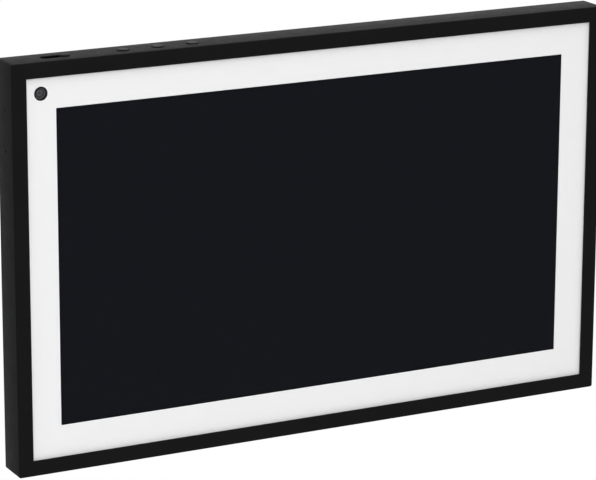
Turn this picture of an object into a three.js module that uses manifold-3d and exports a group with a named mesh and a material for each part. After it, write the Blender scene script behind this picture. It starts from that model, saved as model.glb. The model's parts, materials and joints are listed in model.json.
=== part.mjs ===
// A wall display in a picture frame: a 15.6 inch screen behind a white mat and a pane, in a black frame.
// Bench axes while building: x right, y up, z out of the wall towards the viewer, with z = 0 on the wall.
// The finished group is turned so that +Z is up and the front faces -Y. All sizes are millimetres.
import * as THREE from 'three';
import { mergeVertices } from 'three/addons/utils/BufferGeometryUtils.js';
import Module from 'manifold-3d';

const wasm = await Module();
wasm.setup();

// Screen, mat and frame, which together give the overall size of 402 x 252 mm
const screenWidth = 344.6;
const screenHeight = 194.5;
const matBandSide = 19.2;
const matBandTop = 19.25;
const frameBorder = 9.5;
const frameDepth = 22;
const overallDepth = 35;

// Front frame
const frameWall = 2.4;
const frameCorner = 1.4;
const frameEdge = 0.6;
const lipThickness = 1.1;
const lipOverlap = 3.2;
const railDepth = 3.5;
const ledgeWidth = 2.6;

// Gaps between stacked sheets, around fixed pieces and around moving ones; overlap inside one piece
const sheetGap = 0.15;
const fitGap = 0.3;
const runGap = 0.35;
const weld = 0.1;

// Flat sides of round pieces and of screws
const roundSides = 24;
const screwSides = 14;

// Pane, mat and display stack
const glassThickness = 0.7;
const matThickness = 0.4;
const cellMargin = 2.6;
const cellThickness = 1.2;
const diffuserThickness = 0.4;
const guideThickness = 2;
const reflectorThickness = 0.3;
const trayThickness = 0.6;
const trayMargin = 1.2;
const ledStripRoom = 2.4;
const ledStripThickness = 0.8;
const ledCount = 18;
const ledSize = 1.1;
const filmRoom = 2.6;
const filmWidth = 160;
const driverBoardWidth = 240;
const driverBoardThickness = 1;

// Camera and its shutter
const cameraWindow = 7.8;
const barrelDiameter = 10;
const barrelRim = 0.4;
const barrelFlare = 0.3;
const barrelFlareDepth = 0.4;
const lensDiameter = 7.8;
const lensDepth = 1.6;
const lensEdge = 0.8;
const lensCrown = 0.6;
const cameraBoardWidth = 14;
const cameraBoardHeight = 11;
const cameraBoardThickness = 1;
const boardCorner = 1;
const bladeThickness = 0.6;
const bladeGap = 0.4;
const bladeWidth = 12;
const bladeCover = 0.9;
const bladeCorner = 1.5;
const controlLine = 11;
const slotStart = 22.8;
const slotLength = 18.5;
const slotWidth = 6.5;
const knobLength = 6;
const knobProud = 0.8;
const carriageThickness = 2;
const carriageWidth = 8;
const carriageLap = 2;
const armWidth = 8;
const armThickness = 1.5;
const linkThickness = 1.7;
const guideBase = 1.7;
const railWidth = 1.3;
const guideEnd = 1;
const springLength = 22;
const springFoot = 4;
const springCrest = 5;
const springWidth = 3;
const springThickness = 0.3;

// Buttons on the top edge, and the board under them
const buttonNames = ['microphone', 'volume_down', 'volume_up'];
const firstButton = 75.3;
const buttonPitch = 22.5;
const buttonDiameter = 7;
const buttonProud = 0.6;
const buttonFlange = 9;
const buttonFlangeThickness = 0.8;
const buttonStem = 3.2;
const stemLength = 2.65;
const buttonTravel = 0.5;
const switchSize = 6;
const switchHeight = 2.3;
const plungerHeight = 0.7;
const plungerDiameter = 3.4;
const boardThickness = 1.3;
const buttonBoardWidth = 8;
const buttonBoardMargin = 9;
const crownEdge = 0.6;
const shelfThickness = 1.7;
const shelfMargin = 1;

// Microphones on the left side
const upperMicrophone = 28.9;
const microphonePitch = 24.6;
const microphoneHole = 1.2;
const microphonePort = 0.8;
const microphoneMargin = 8;
const microphoneBoardWidth = 5.2;
const microphoneBoardThickness = 0.8;
const microphoneLength = 3.6;
const microphoneHeight = 2.8;
const microphoneDepth = 1;

// Chassis, boards and heat path
const chassisThickness = 2;
const postDiameter = 7;
const sideScrewHeight = 50;
const ribHeight = 70;
const ribWidth = 2;
const ribDepth = 3;
const ribInset = 24;
const mainBoardWidth = 170;
const mainBoardHeight = 88;
const mainBoardShift = 15;
const standoffHeight = 3;
const standoffDiameter = 6;
const standoffInset = 6;
const connectorSize = 8;
const leadConnectorDepth = 6;
const chipDepth = 1.4;
const chipWidth = 12;
const chipHeight = 9;
const chipInset = 20;
const mainBoardCorner = 2;
const processorWidth = 56;
const processorHeight = 44;
const processorRise = 2;
const radioWidth = 30;
const radioHeight = 26;
const shieldHeight = 2.3;
const thermalPadWidth = 40;
const thermalPadHeight = 32;
const thermalPadThickness = 1;
const spreaderWidth = 110;
const spreaderHeight = 60;
const spreaderThickness = 1.5;
const spreaderCorner = 4;
const antennaLength = 44;
const antennaHeight = 10;
const antennaInsetSide = 78;
const antennaInsetTop = 35;
const ribbonThickness = 0.3;
const ribbonWidth = 8;
const ribbonDrop = 5;
const ribbonBend = 7;
const cameraRibbonPlace = 16;
const buttonRibbonPlace = 34;
const leadDiameter = 3;
const leadSteps = 14;

// Speakers
const speakerInset = 36;
const speakerWidth = 44;
const speakerHeight = 96;
const speakerRimHeight = 2.2;
const speakerRimWidth = 2.2;
const speakerWell = 7;
const speakerCorner = 5;
const coneDiameter = 38;
const coneDepth = 3.6;
const coneThickness = 1;
const coneSeat = 1.4;
const dustCapDiameter = 14;
const rollWidth = 2.6;
const rollDepth = 0.9;

// Rear cover: how far it steps in from the frame, its walls, and what is cut in it
const coverStep = 13;
const coverCorner = 14;
const coverEdge = 7;
const coverWall = 2.2;
const flangeThickness = 2;
const notchWidth = 32;
const notchHeight = 38;
const ventLength = 16;
const ventWidth = 2.2;
const ventPitch = 8;
const ventInset = 23;
const upperVentCount = 22;
const lowerVentCount = 6;
const lowerVentGap = 20;
const speakerSlotCount = 6;
const speakerSlotPitch = 5.6;
const speakerSlotLength = 34;

// Hanger plate, wall pads, screws and power socket
const hangerWidth = 200;
const hangerHeight = 70;
const hangerThickness = 1.5;
const hangerCorner = 6;
const keyholeInset = 25;
const keyholeHead = 9;
const keyholeShank = 4.6;
const keyholeRise = 12;
const keyholePocket = 6;
const keyholeWellWidth = 15;
const keyholeWellMargin = 5;
const wallPadDiameter = 16;
const wallPadSeat = 1;
const wallPadEdge = 0.4;
const wallPadInset = 26;
const screwShank = 2.5;
const screwRecess = 2.2;
const screwRecessDepth = 0.5;
const screwEdge = 0.3;
const screwPoint = 0.5;
const coverScrewHead = 5;
const coverScrewHeadDepth = 1.1;
const coverScrewGrip = 3.4;
const hangerScrewHead = 5.6;
const hangerScrewInset = 8;
const hangerScrewLength = 7.4;
const headSink = 0.1;
const socketWidth = 10;
const socketDepth = 9;
const socketLength = 12;
const socketBore = 5.6;
const socketPin = 1.9;
const plugHoleDiameter = 8.8;

// Levels out of the wall, from the front plane back to the heat spreader
const frontLevel = overallDepth;
const frameBack = frontLevel - frameDepth;
const railBack = frontLevel - railDepth;
const glassFront = frontLevel - lipThickness - sheetGap;
const glassBack = glassFront - glassThickness;
const matFront = glassBack - sheetGap;
const matBack = matFront - matThickness;
const cellFront = matBack - sheetGap;
const cellBack = cellFront - cellThickness;
const diffuserBack = cellBack - sheetGap - diffuserThickness;
const lightFront = diffuserBack - sheetGap;
const lightBack = lightFront - guideThickness;
const reflectorBack = lightBack - sheetGap - reflectorThickness;
const trayFloor = reflectorBack - sheetGap;
const trayBack = trayFloor - trayThickness;
const chassisFront = trayBack - sheetGap;
const chassisBack = chassisFront - chassisThickness;
const ledgeBack = chassisFront + fitGap;
const boardFront = chassisBack - standoffHeight;
const boardBack = boardFront - boardThickness;
const shieldBack = boardBack - sheetGap - shieldHeight;
const thermalPadBack = shieldBack - sheetGap - thermalPadThickness;
const spreaderBack = thermalPadBack - sheetGap - spreaderThickness;
const sheetLevel = chassisBack - fitGap - ribbonThickness;
const flangeFront = frameBack + flangeThickness;
const coverBack = hangerThickness + sheetGap;
const coverInside = coverBack + coverWall;
const controlLevel = frontLevel - controlLine;
const bladeFront = matBack - bladeGap;
const bladeBack = bladeFront - bladeThickness;
const barrelFront = bladeBack - bladeGap;
const cameraBoardFront = chassisBack - fitGap;
const coverScrewTip = chassisFront + coverScrewGrip;

// Places across the frame
const openWidth = screenWidth + 2 * matBandSide;
const openHeight = screenHeight + 2 * matBandTop;
const frameWidth = openWidth + 2 * frameBorder;
const frameHeight = openHeight + 2 * frameBorder;
const paneWidth = openWidth + 2 * lipOverlap;
const paneHeight = openHeight + 2 * lipOverlap;
const innerWidth = frameWidth - 2 * frameWall;
const innerHeight = frameHeight - 2 * frameWall;
const cellWidth = screenWidth + 2 * cellMargin;
const cellHeight = screenHeight + 2 * cellMargin;
const trayWidth = cellWidth + 2 * (trayMargin + trayThickness);
const trayHeight = cellHeight + 2 * (trayMargin + trayThickness);
const left = -frameWidth / 2;
const top = frameHeight / 2;
const wallInside = top - frameWall;
const sideInside = left + frameWall;
const cameraX = left + frameBorder + matBandSide / 2;
const cameraY = top - frameBorder - matBandTop / 2;
const coverWidth = frameWidth - 2 * coverStep;
const coverHeight = frameHeight - 2 * coverStep;
const screwInset = (frameWall + coverStep) / 2;
const pilotDiameter = screwShank + 2 * fitGap;
const boardRight = mainBoardShift + mainBoardWidth / 2;
const boardLeft = mainBoardShift - mainBoardWidth / 2;
const boardTop = mainBoardHeight / 2;
const cameraRibbonX = boardLeft + cameraRibbonPlace;
const buttonRibbonX = boardLeft + buttonRibbonPlace;
const speakerX = coverWidth / 2 - speakerInset;
const speakerBack = coverInside + speakerRimHeight;
const notchTop = notchHeight - coverHeight / 2;
const socketLow = notchTop + coverWall + fitGap;
const socketLevel = coverInside + fitGap + socketDepth / 2;
const keyholeX = [keyholeInset - hangerWidth / 2, hangerWidth / 2 - keyholeInset];

// The controls, from the top wall down to the shelf that carries their board
const flangeTop = wallInside - fitGap;
const flangeLow = flangeTop - buttonFlangeThickness;
const stemLow = flangeLow - stemLength;
const switchTop = stemLow - buttonTravel - fitGap;
const switchLow = switchTop - switchHeight;
const buttonBoardTop = switchLow - sheetGap;
const buttonBoardLow = buttonBoardTop - boardThickness;
const shelfTop = buttonBoardLow - fitGap;
const shelfLow = shelfTop - shelfThickness;
const shelfBack = controlLevel - buttonBoardWidth / 2 - shelfMargin;
const buttonX = buttonNames.map((name, index) => left + firstButton + index * buttonPitch);
const controlEnd = buttonX[buttonX.length - 1] + buttonPitch / 2;

// The shutter: its travel is what the slot leaves the knob, and the blade ends over the camera
const shutterTravel = slotLength - knobLength - 2 * runGap;
const knobX = left + slotStart + slotLength - runGap - knobLength / 2;
const carriageTop = wallInside - fitGap;
const carriageLow = carriageTop - carriageThickness;
const carriageLength = slotLength + shutterTravel + 2 * carriageLap;
const bladeX = cameraX + shutterTravel;
const linkTop = cameraY + barrelDiameter / 2 + linkThickness + 2 * fitGap;

// Microphones, counted down from the top
const microphoneY = [top - upperMicrophone, top - upperMicrophone - microphonePitch];
const microphoneBoardRight = sideInside + fitGap + microphoneBoardThickness;

// The four signs of a rectangle's corners, and the screws and pads placed by them
const corners = [[-1, -1], [1, -1], [-1, 1], [1, 1]];
const cornerNames = ['lower_left', 'lower_right', 'upper_left', 'upper_right'];
const screwX = frameWidth / 2 - screwInset;
const screwY = frameHeight / 2 - screwInset;
const coverScrewPlaces = [
  [-screwX, sideScrewHeight], [-screwX, -sideScrewHeight],
  [screwX, sideScrewHeight], [screwX, -sideScrewHeight],
  [0, screwY], [0, -screwY],
];
const hangerScrewPlaces = corners.map(([across, up]) => [
  across * (hangerWidth / 2 - hangerScrewInset), up * (hangerHeight / 2 - hangerScrewInset)]);
const wallPadPlaces = corners.map(([across, up]) => [
  across * (coverWidth / 2 - wallPadInset), up * (coverHeight / 2 - wallPadInset)]);

// Finishes, by the look of each piece
function finish(color, roughness, metalness = 0) {
  return new THREE.MeshStandardMaterial({ color, roughness, metalness });
}
const finishes = {
  frameBlack: finish(0x252528, 0.55),
  glass: new THREE.MeshStandardMaterial({
    color: 0xf4f6f6, roughness: 0.05, transparent: true, opacity: 0.12,
  }),
  matWhite: finish(0xf0f0ee, 0.8),
  screenDark: finish(0x16171b, 0.15),
  whiteSheet: finish(0xf6f6f4, 0.6),
  clearPlastic: finish(0xe6eef0, 0.1),
  steel: finish(0xb4b6b8, 0.35, 0.9),
  aluminium: finish(0xc6c8ca, 0.4, 0.9),
  boardGreen: finish(0x1d4a34, 0.5),
  darkPlastic: finish(0x2c2c2e, 0.6),
  coverBlack: finish(0x2a2a2c, 0.7),
  rubber: finish(0x1a1a1a, 0.9),
  lens: finish(0x101820, 0.05),
  ribbonAmber: finish(0xb87420, 0.4),
  padGrey: finish(0x8c98a4, 0.9),
  screwBlack: finish(0x1c1c1e, 0.4, 0.8),
};

const display = new THREE.Group();
display.rotation.x = Math.PI / 2;

// Solids for cutting and joining
function solid(geometry) {
  const bare = geometry.clone();
  bare.deleteAttribute('normal');
  bare.deleteAttribute('uv');
  const merged = mergeVertices(bare, 1e-4);
  return new wasm.Manifold(new wasm.Mesh({
    numProp: 3,
    vertProperties: merged.attributes.position.array,
    triVerts: new Uint32Array(merged.index.array),
  }));
}

function surface(body) {
  const mesh = body.getMesh();
  const geometry = new THREE.BufferGeometry();
  geometry.setAttribute('position', new THREE.BufferAttribute(mesh.vertProperties, 3));
  geometry.setIndex(new THREE.BufferAttribute(mesh.triVerts, 1));
  const flat = geometry.toNonIndexed();
  flat.computeVertexNormals();
  return flat;
}

function joined(solids) {
  return solids.reduce((whole, part) => whole.add(part));
}

function cutBy(body, cutters) {
  return cutters.reduce((rest, cutter) => rest.subtract(cutter), body);
}

function place(name, body, material, x = 0, y = 0, z = 0) {
  const geometry = body instanceof THREE.BufferGeometry ? body : surface(body);
  const mesh = new THREE.Mesh(geometry, material);
  mesh.name = name;
  mesh.position.set(x, y, z);
  display.add(mesh);
}

// A rectangle with round corners, centred on x and y
function outline(width, height, radius = 0, x = 0, y = 0) {
  const shape = new THREE.Shape();
  if (radius === 0) {
    shape.moveTo(x - width / 2, y - height / 2);
    shape.lineTo(x + width / 2, y - height / 2);
    shape.lineTo(x + width / 2, y + height / 2);
    shape.lineTo(x - width / 2, y + height / 2);
    return shape;
  }
  const reach = Math.min(radius, width / 2 - 0.01, height / 2 - 0.01);
  [[1, -1], [1, 1], [-1, 1], [-1, -1]].forEach(([across, up], index) => {
    const start = (index - 1) * Math.PI / 2;
    const middleX = x + across * (width / 2 - reach);
    const middleY = y + up * (height / 2 - reach);
    shape.absarc(middleX, middleY, reach, start, start + Math.PI / 2);
  });
  return shape;
}

function disc(diameter) {
  return new THREE.Shape().absarc(0, 0, diameter / 2, 0, 2 * Math.PI);
}

// A vent slot whose ends are cut at the corners
function slotOutline(width, height, x, y) {
  const cut = Math.min(width, height) * 0.3;
  const halfWidth = width / 2;
  const halfHeight = height / 2;
  return new THREE.Shape([
    [cut - halfWidth, -halfHeight], [halfWidth - cut, -halfHeight], [halfWidth, cut - halfHeight],
    [halfWidth, halfHeight - cut], [halfWidth - cut, halfHeight], [cut - halfWidth, halfHeight],
    [-halfWidth, halfHeight - cut], [-halfWidth, cut - halfHeight],
  ].map(([across, up]) => new THREE.Vector2(x + across, y + up)));
}

// An outline drawn out of the wall from back to front, with its edges rounded if edge is given
function prism(shape, back, front, edge = 0, edgeSteps = 2, arcSteps = 2) {
  const geometry = new THREE.ExtrudeGeometry(shape, {
    depth: front - back - 2 * edge,
    bevelEnabled: edge > 0,
    bevelThickness: edge,
    bevelSize: edge,
    bevelOffset: -edge,
    bevelSegments: edgeSteps,
    curveSegments: arcSteps,
  });
  return geometry.translate(0, 0, back + edge);
}

function block(x0, x1, y0, y1, z0, z1) {
  const geometry = new THREE.BoxGeometry(x1 - x0, y1 - y0, z1 - z0);
  return solid(geometry.translate((x0 + x1) / 2, (y0 + y1) / 2, (z0 + z1) / 2));
}

// Round pegs whose axis runs out of the wall, up, or across the frame
function peg(diameter, back, front, x, y, sides = 16) {
  const geometry = new THREE.CylinderGeometry(diameter / 2, diameter / 2, front - back, sides);
  return solid(geometry.rotateX(Math.PI / 2).translate(x, y, (back + front) / 2));
}

function uprightPeg(diameter, low, high, x, z, sides = 16) {
  const geometry = new THREE.CylinderGeometry(diameter / 2, diameter / 2, high - low, sides);
  return solid(geometry.translate(x, (low + high) / 2, z));
}

function crossPeg(diameter, x0, x1, y, z, sides = 10) {
  const geometry = new THREE.CylinderGeometry(diameter / 2, diameter / 2, x1 - x0, sides);
  return solid(geometry.rotateZ(Math.PI / 2).translate((x0 + x1) / 2, y, z));
}

// A turned piece, from its profile of radius and height, with its axis along y
function turned(profile, sides) {
  return new THREE.LatheGeometry(profile.map(([radius, height]) => new THREE.Vector2(radius, height)), sides);
}

// An outline drawn with z to the right and y up, drawn out across the frame from x0 to x1
function drawnAcross(shape, x0, x1) {
  const geometry = new THREE.ExtrudeGeometry(shape, { depth: x1 - x0, bevelEnabled: false });
  return geometry.rotateY(-Math.PI / 2).translate(x1, 0, 0);
}

// A bent strip's outline: its centre line moved half a thickness to each side
function strip(points, thickness) {
  const line = points.map(([u, v]) => new THREE.Vector2(u, v));
  const sides = [[], []];
  line.forEach((point, index) => {
    const before = line[Math.max(index - 1, 0)];
    const after = line[Math.min(index + 1, line.length - 1)];
    const into = (index > 0 ? point.clone().sub(before) : after.clone().sub(point)).normalize();
    const out = (index < line.length - 1 ? after.clone().sub(point) : into.clone()).normalize();
    const normal = new THREE.Vector2(-into.y - out.y, into.x + out.x).normalize();
    const reach = thickness / 2 / normal.dot(new THREE.Vector2(-into.y, into.x));
    sides[0].push(point.clone().addScaledVector(normal, reach));
    sides[1].unshift(point.clone().addScaledVector(normal, -reach));
  });
  return new THREE.Shape([...sides[0], ...sides[1]]);
}

// Front frame: side walls, front rails, a thin lip over the pane, a ledge and short screw bosses behind
function makeFrontFrame() {
  const shell = solid(prism(outline(frameWidth, frameHeight, frameCorner), frameBack, frontLevel, frameEdge));
  const hollow = block(-innerWidth / 2, innerWidth / 2, -innerHeight / 2, innerHeight / 2,
    frameBack - frameWall, railBack);
  const paneSeat = solid(prism(outline(paneWidth + 2 * fitGap, paneHeight + 2 * fitGap),
    railBack - railDepth, frontLevel - lipThickness));
  const window = solid(prism(outline(openWidth, openHeight, frameEdge), railBack, frontLevel + lipThickness));
  const ledgeX = innerWidth / 2 - ledgeWidth;
  const ledgeY = innerHeight / 2 - ledgeWidth;
  const aroundControls = block(left, controlEnd + buttonFlange / 2, ledgeY - weld, top,
    ledgeBack - weld, railBack);
  const reachX = innerWidth / 2 + weld;
  const reachY = innerHeight / 2 + weld;
  const ledge = block(-reachX, reachX, -reachY, reachY, ledgeBack, railBack + weld)
    .subtract(block(-ledgeX, ledgeX, -ledgeY, ledgeY, ledgeBack - weld, railBack + 2 * weld))
    .subtract(aroundControls);
  const bosses = coverScrewPlaces.map(([x, y]) => peg(postDiameter, ledgeBack, railBack + 4 * weld, x, y));
  const pilots = coverScrewPlaces.map(([x, y]) => peg(
    pilotDiameter, ledgeBack - weld, coverScrewTip + fitGap, x, y, screwSides));
  const slotShape = new THREE.ExtrudeGeometry(outline(slotLength, slotWidth, slotWidth / 2), {
    depth: 2 * frameWall, bevelEnabled: false, curveSegments: 5,
  });
  const slot = solid(slotShape.rotateX(-Math.PI / 2)
    .translate(left + slotStart + slotLength / 2, top - 1.5 * frameWall, controlLevel));
  const buttonHoles = buttonX.map((x) => uprightPeg(
    buttonDiameter + 2 * runGap, wallInside - frameWall, top + frameWall, x, controlLevel, roundSides));
  const pinholes = microphoneY.map((y) => crossPeg(
    microphoneHole, left - frameWall, sideInside + frameWall, y, controlLevel));
  const walls = cutBy(shell, [hollow, paneSeat, window]);
  const whole = joined([walls, ledge, ...bosses]);
  place('front_frame', cutBy(whole, [...pilots, slot, ...buttonHoles, ...pinholes]), finishes.frameBlack);
}

// The pane, and behind it the white mat with the screen's window and the camera's round one
function makePaneAndMat() {
  const paneCorner = 1;
  const pane = prism(outline(paneWidth, paneHeight, paneCorner), 0, glassThickness, sheetGap, 1);
  place('cover_glass', pane, finishes.glass, 0, 0, glassBack);
  const sheet = solid(prism(outline(paneWidth, paneHeight, paneCorner), 0, matThickness));
  const opening = solid(prism(outline(screenWidth, screenHeight, matThickness), -1, matThickness + 1));
  const eye = peg(cameraWindow, -1, matThickness + 1, cameraX, cameraY, roundSides);
  place('mat_border', cutBy(sheet, [opening, eye]), finishes.matWhite, 0, 0, matBack);
}

// Display stack: cell, diffuser, light guide, reflector and led strip in a steel tray
function makeDisplayStack() {
  const full = outline(cellWidth, cellHeight);
  place('lcd_cell', prism(full, 0, cellThickness), finishes.screenDark, 0, 0, cellBack);
  place('diffuser_sheet', prism(full, 0, diffuserThickness), finishes.whiteSheet, 0, 0, diffuserBack);
  place('light_guide', prism(outline(cellWidth, cellHeight - ledStripRoom), 0, guideThickness),
    finishes.clearPlastic, 0, ledStripRoom / 2, lightBack);
  place('reflector_sheet', prism(full, 0, reflectorThickness), finishes.whiteSheet, 0, 0, reflectorBack);
  const trayInner = trayHeight / 2 - trayThickness;
  const tray = block(-trayWidth / 2, trayWidth / 2, -trayHeight / 2, trayHeight / 2,
    trayBack, cellBack - fitGap)
    .subtract(block(trayThickness - trayWidth / 2, trayWidth / 2 - trayThickness,
      -trayInner, trayInner, trayFloor, cellFront));
  place('display_tray', tray, finishes.steel);
  const stripLow = fitGap - trayInner;
  const stripTop = stripLow + ledStripThickness;
  const carrier = block(-cellWidth / 2, cellWidth / 2, stripLow, stripTop, lightBack, lightFront);
  const leds = Array.from({ length: ledCount }, (unused, index) => {
    const x = (index + 0.5 - ledCount / 2) * cellWidth / ledCount;
    return block(x - ledSize, x + ledSize, stripTop - weld, stripTop + ledSize,
      lightBack + fitGap, lightFront - fitGap);
  });
  place('led_strip', joined([carrier, ...leds]), finishes.whiteSheet);
}

// Driver board below the tray, and the film that folds from the cell's edge down to it
function makePanelDriver() {
  const boardHigh = -trayHeight / 2 - filmRoom;
  const boardLow = -frameHeight / 2 + screwInset + postDiameter / 2 + 4 * fitGap;
  const boardHeight = boardHigh - boardLow;
  const level = chassisFront + sheetGap;
  const board = prism(outline(driverBoardWidth, boardHeight, boardCorner), 0, driverBoardThickness);
  place('panel_driver_board', board, finishes.boardGreen, 0, (boardHigh + boardLow) / 2, level);
  const filmTop = cellBack + cellThickness / 2;
  const filmLow = level + driverBoardThickness + sheetGap + ribbonThickness / 2;
  const filmEdge = -trayHeight / 2 - fitGap - ribbonThickness / 2;
  const film = strip([
    [filmTop, -cellHeight / 2 - fitGap], [filmTop, filmEdge], [filmLow, filmEdge],
    [filmLow, boardHigh - boardHeight / 2],
  ], ribbonThickness);
  place('panel_ribbon', drawnAcross(film, -filmWidth / 2, filmWidth / 2), finishes.ribbonAmber);
}

// Camera: barrel and lens reach through the chassis from a small board behind it
function makeCamera() {
  const barrelBack = cameraBoardFront + sheetGap;
  const radius = barrelDiameter / 2;
  const bore = lensDiameter / 2 + fitGap;
  const length = barrelFront - barrelBack;
  const barrel = turned([[0, 0], [radius, 0], [radius, length - barrelRim], [radius - barrelRim, length],
    [bore + barrelFlare, length], [bore, length - barrelFlareDepth], [bore, length - lensDepth],
    [0, length - lensDepth]], roundSides);
  place('camera_barrel', barrel.rotateX(Math.PI / 2), finishes.darkPlastic, cameraX, cameraY, barrelBack);
  const lensRadius = lensDiameter / 2;
  const dome = [0.25, 0.5, 0.75, 1].map((turn) => [
    lensRadius * Math.cos(turn * Math.PI / 2), lensEdge + lensCrown * Math.sin(turn * Math.PI / 2)]);
  dome[dome.length - 1][0] = 0;
  const lens = turned([[0, 0], [lensRadius, 0], [lensRadius, lensEdge], ...dome], roundSides);
  place('camera_lens', lens.rotateX(Math.PI / 2), finishes.lens,
    cameraX, cameraY, barrelFront - lensDepth + sheetGap);
  const board = prism(outline(cameraBoardWidth, cameraBoardHeight, boardCorner), 0, cameraBoardThickness);
  place('camera_board', board, finishes.boardGreen,
    cameraX, cameraY, cameraBoardFront - cameraBoardThickness);
  const start = cameraX + cameraBoardWidth / 2 + fitGap;
  const run = cameraY - cameraBoardHeight / 2;
  const end = boardTop - connectorSize;
  const route = new THREE.Shape([
    [start, run], [cameraRibbonX - ribbonWidth / 2, run], [cameraRibbonX - ribbonWidth / 2, end],
    [cameraRibbonX + ribbonWidth / 2, end], [cameraRibbonX + ribbonWidth / 2, run + ribbonWidth],
    [start, run + ribbonWidth],
  ].map(([x, y]) => new THREE.Vector2(x, y)));
  place('camera_ribbon', prism(route, 0, ribbonThickness), finishes.ribbonAmber, 0, 0, sheetLevel);
}

// Shutter slider: the knob in its slot, a carriage that always covers the slot, an arm and the blade
function makeShutterSlider() {
  const knobWidth = slotWidth - 2 * runGap;
  const knobShape = outline(knobLength, knobWidth, knobWidth / 2 - fitGap);
  const knobBody = prism(knobShape, carriageTop - weld, top + knobProud, runGap, 2, 3);
  const knob = solid(knobBody.rotateX(-Math.PI / 2).translate(knobX, 0, controlLevel));
  const halfLength = carriageLength / 2;
  const halfWidth = carriageWidth / 2;
  const carriage = block(knobX - halfLength, knobX + halfLength, carriageLow, carriageTop,
    controlLevel - halfWidth, controlLevel + halfWidth);
  const armBack = controlLevel + halfWidth - weld;
  const armLeft = bladeX - armWidth / 4;
  const arm = block(armLeft, armLeft + armWidth, linkTop - linkThickness, carriageTop,
    armBack, armBack + armThickness);
  const link = block(armLeft, armLeft + armWidth, linkTop - linkThickness, linkTop, armBack, bladeFront);
  const bladeLow = cameraY - cameraWindow / 2 - bladeCover;
  const bladeShape = outline(bladeWidth, linkTop - bladeLow, bladeCorner, bladeX, (linkTop + bladeLow) / 2);
  const blade = solid(prism(bladeShape, bladeBack, bladeFront));
  place('shutter_slider', joined([carriage, knob, arm, link, blade]), finishes.darkPlastic);
}

// Shutter guide: a channel whose two rails carry the carriage, with an arched spring between them
function makeShutterGuide() {
  const low = shelfTop + fitGap;
  const floor = low + guideBase;
  const guideLeft = Math.max(knobX - carriageLength / 2 - shutterTravel - guideEnd, sideInside + fitGap);
  const guideRight = knobX + carriageLength / 2 + guideEnd;
  const guideBack = controlLevel - carriageWidth / 2 - fitGap;
  const guideFront = controlLevel + carriageWidth / 2 - weld - 1.5 * fitGap;
  const railTop = carriageLow - fitGap;
  const base = block(guideLeft, guideRight, low, floor, guideBack, guideFront);
  const rearRail = block(guideLeft, guideRight, floor - weld, railTop, guideBack, guideBack + railWidth);
  const frontRail = block(guideLeft, guideRight, floor - weld, railTop, guideFront - railWidth, guideFront);
  place('shutter_guide', joined([base, rearRail, frontRail]), finishes.darkPlastic);
  const foot = floor + fitGap + springThickness / 2;
  const crest = carriageLow - fitGap - springThickness / 2;
  const half = springLength / 2;
  const rise = half - springFoot;
  const arch = strip([[-half, foot], [-rise, foot], [-springCrest / 2, crest],
    [springCrest / 2, crest], [rise, foot], [half, foot]], springThickness);
  place('detent_spring', prism(arch, -springWidth / 2, springWidth / 2), finishes.steel,
    (guideLeft + guideRight) / 2, 0, (guideBack + guideFront) / 2);
}

// Buttons, their tact switches, the board that carries them and its ribbon
function makeButtons() {
  const radius = buttonDiameter / 2;
  const flange = buttonFlange / 2;
  const stem = buttonStem / 2;
  const crown = top + buttonProud;
  const profile = [[0, stemLow], [stem, stemLow], [stem, flangeLow], [flange, flangeLow], [flange, flangeTop],
    [radius, flangeTop], [radius, crown - crownEdge], [radius - crownEdge / 3, crown - crownEdge / 3],
    [radius - crownEdge, crown - crownEdge / 12], [0, crown]];
  const half = switchSize / 2;
  buttonNames.forEach((name, index) => {
    const cap = turned(profile.map(([r, h]) => [r, h - stemLow]), roundSides);
    place(`${name}_button`, cap, finishes.frameBlack, buttonX[index], stemLow, controlLevel);
    const body = block(-half, half, 0, switchHeight - plungerHeight, -half, half)
      .add(uprightPeg(plungerDiameter, switchHeight - plungerHeight - weld, switchHeight, 0, 0));
    place(`${name}_switch`, body, finishes.darkPlastic, buttonX[index], switchLow, controlLevel);
  });
  const boardStart = buttonX[0] - buttonBoardMargin;
  const boardEnd = buttonX[buttonX.length - 1] + buttonBoardMargin;
  const board = prism(outline(boardEnd - boardStart, buttonBoardWidth, boardCorner), 0, boardThickness)
    .rotateX(-Math.PI / 2);
  place('button_board', board, finishes.boardGreen,
    (boardStart + boardEnd) / 2, buttonBoardLow, controlLevel);
  const middle = (buttonBoardLow + buttonBoardTop) / 2;
  const behindShelf = shelfBack - fitGap - ribbonThickness / 2;
  const underChassis = chassisBack - fitGap - ribbonThickness / 2;
  const tail = strip([
    [controlLevel - buttonBoardWidth / 2 - fitGap, middle], [behindShelf, middle],
    [behindShelf, shelfLow - ribbonDrop], [underChassis, shelfLow - ribbonDrop - ribbonBend],
    [underChassis, boardTop - connectorSize],
  ], ribbonThickness);
  place('button_ribbon', drawnAcross(tail, buttonRibbonX - ribbonWidth / 2, buttonRibbonX + ribbonWidth / 2),
    finishes.ribbonAmber);
}

// Microphones: two cans on one upright board against the left wall, with ports behind the pin holes
function makeMicrophones() {
  const half = microphoneBoardWidth / 2;
  const board = block(sideInside + fitGap, microphoneBoardRight,
    microphoneY[1] - microphoneMargin, microphoneY[0] + microphoneMargin,
    controlLevel - half, controlLevel + half);
  const ports = microphoneY.map((y) => crossPeg(
    microphonePort, sideInside, microphoneBoardRight + fitGap, y, controlLevel));
  place('microphone_board', cutBy(board, ports), finishes.boardGreen);
  ['upper_microphone', 'lower_microphone'].forEach((name, index) => {
    const can = prism(outline(microphoneLength, microphoneHeight, fitGap), 0, microphoneDepth);
    place(name, can.rotateY(Math.PI / 2), finishes.steel,
      microphoneBoardRight + sheetGap, microphoneY[index], controlLevel);
  });
}

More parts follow.
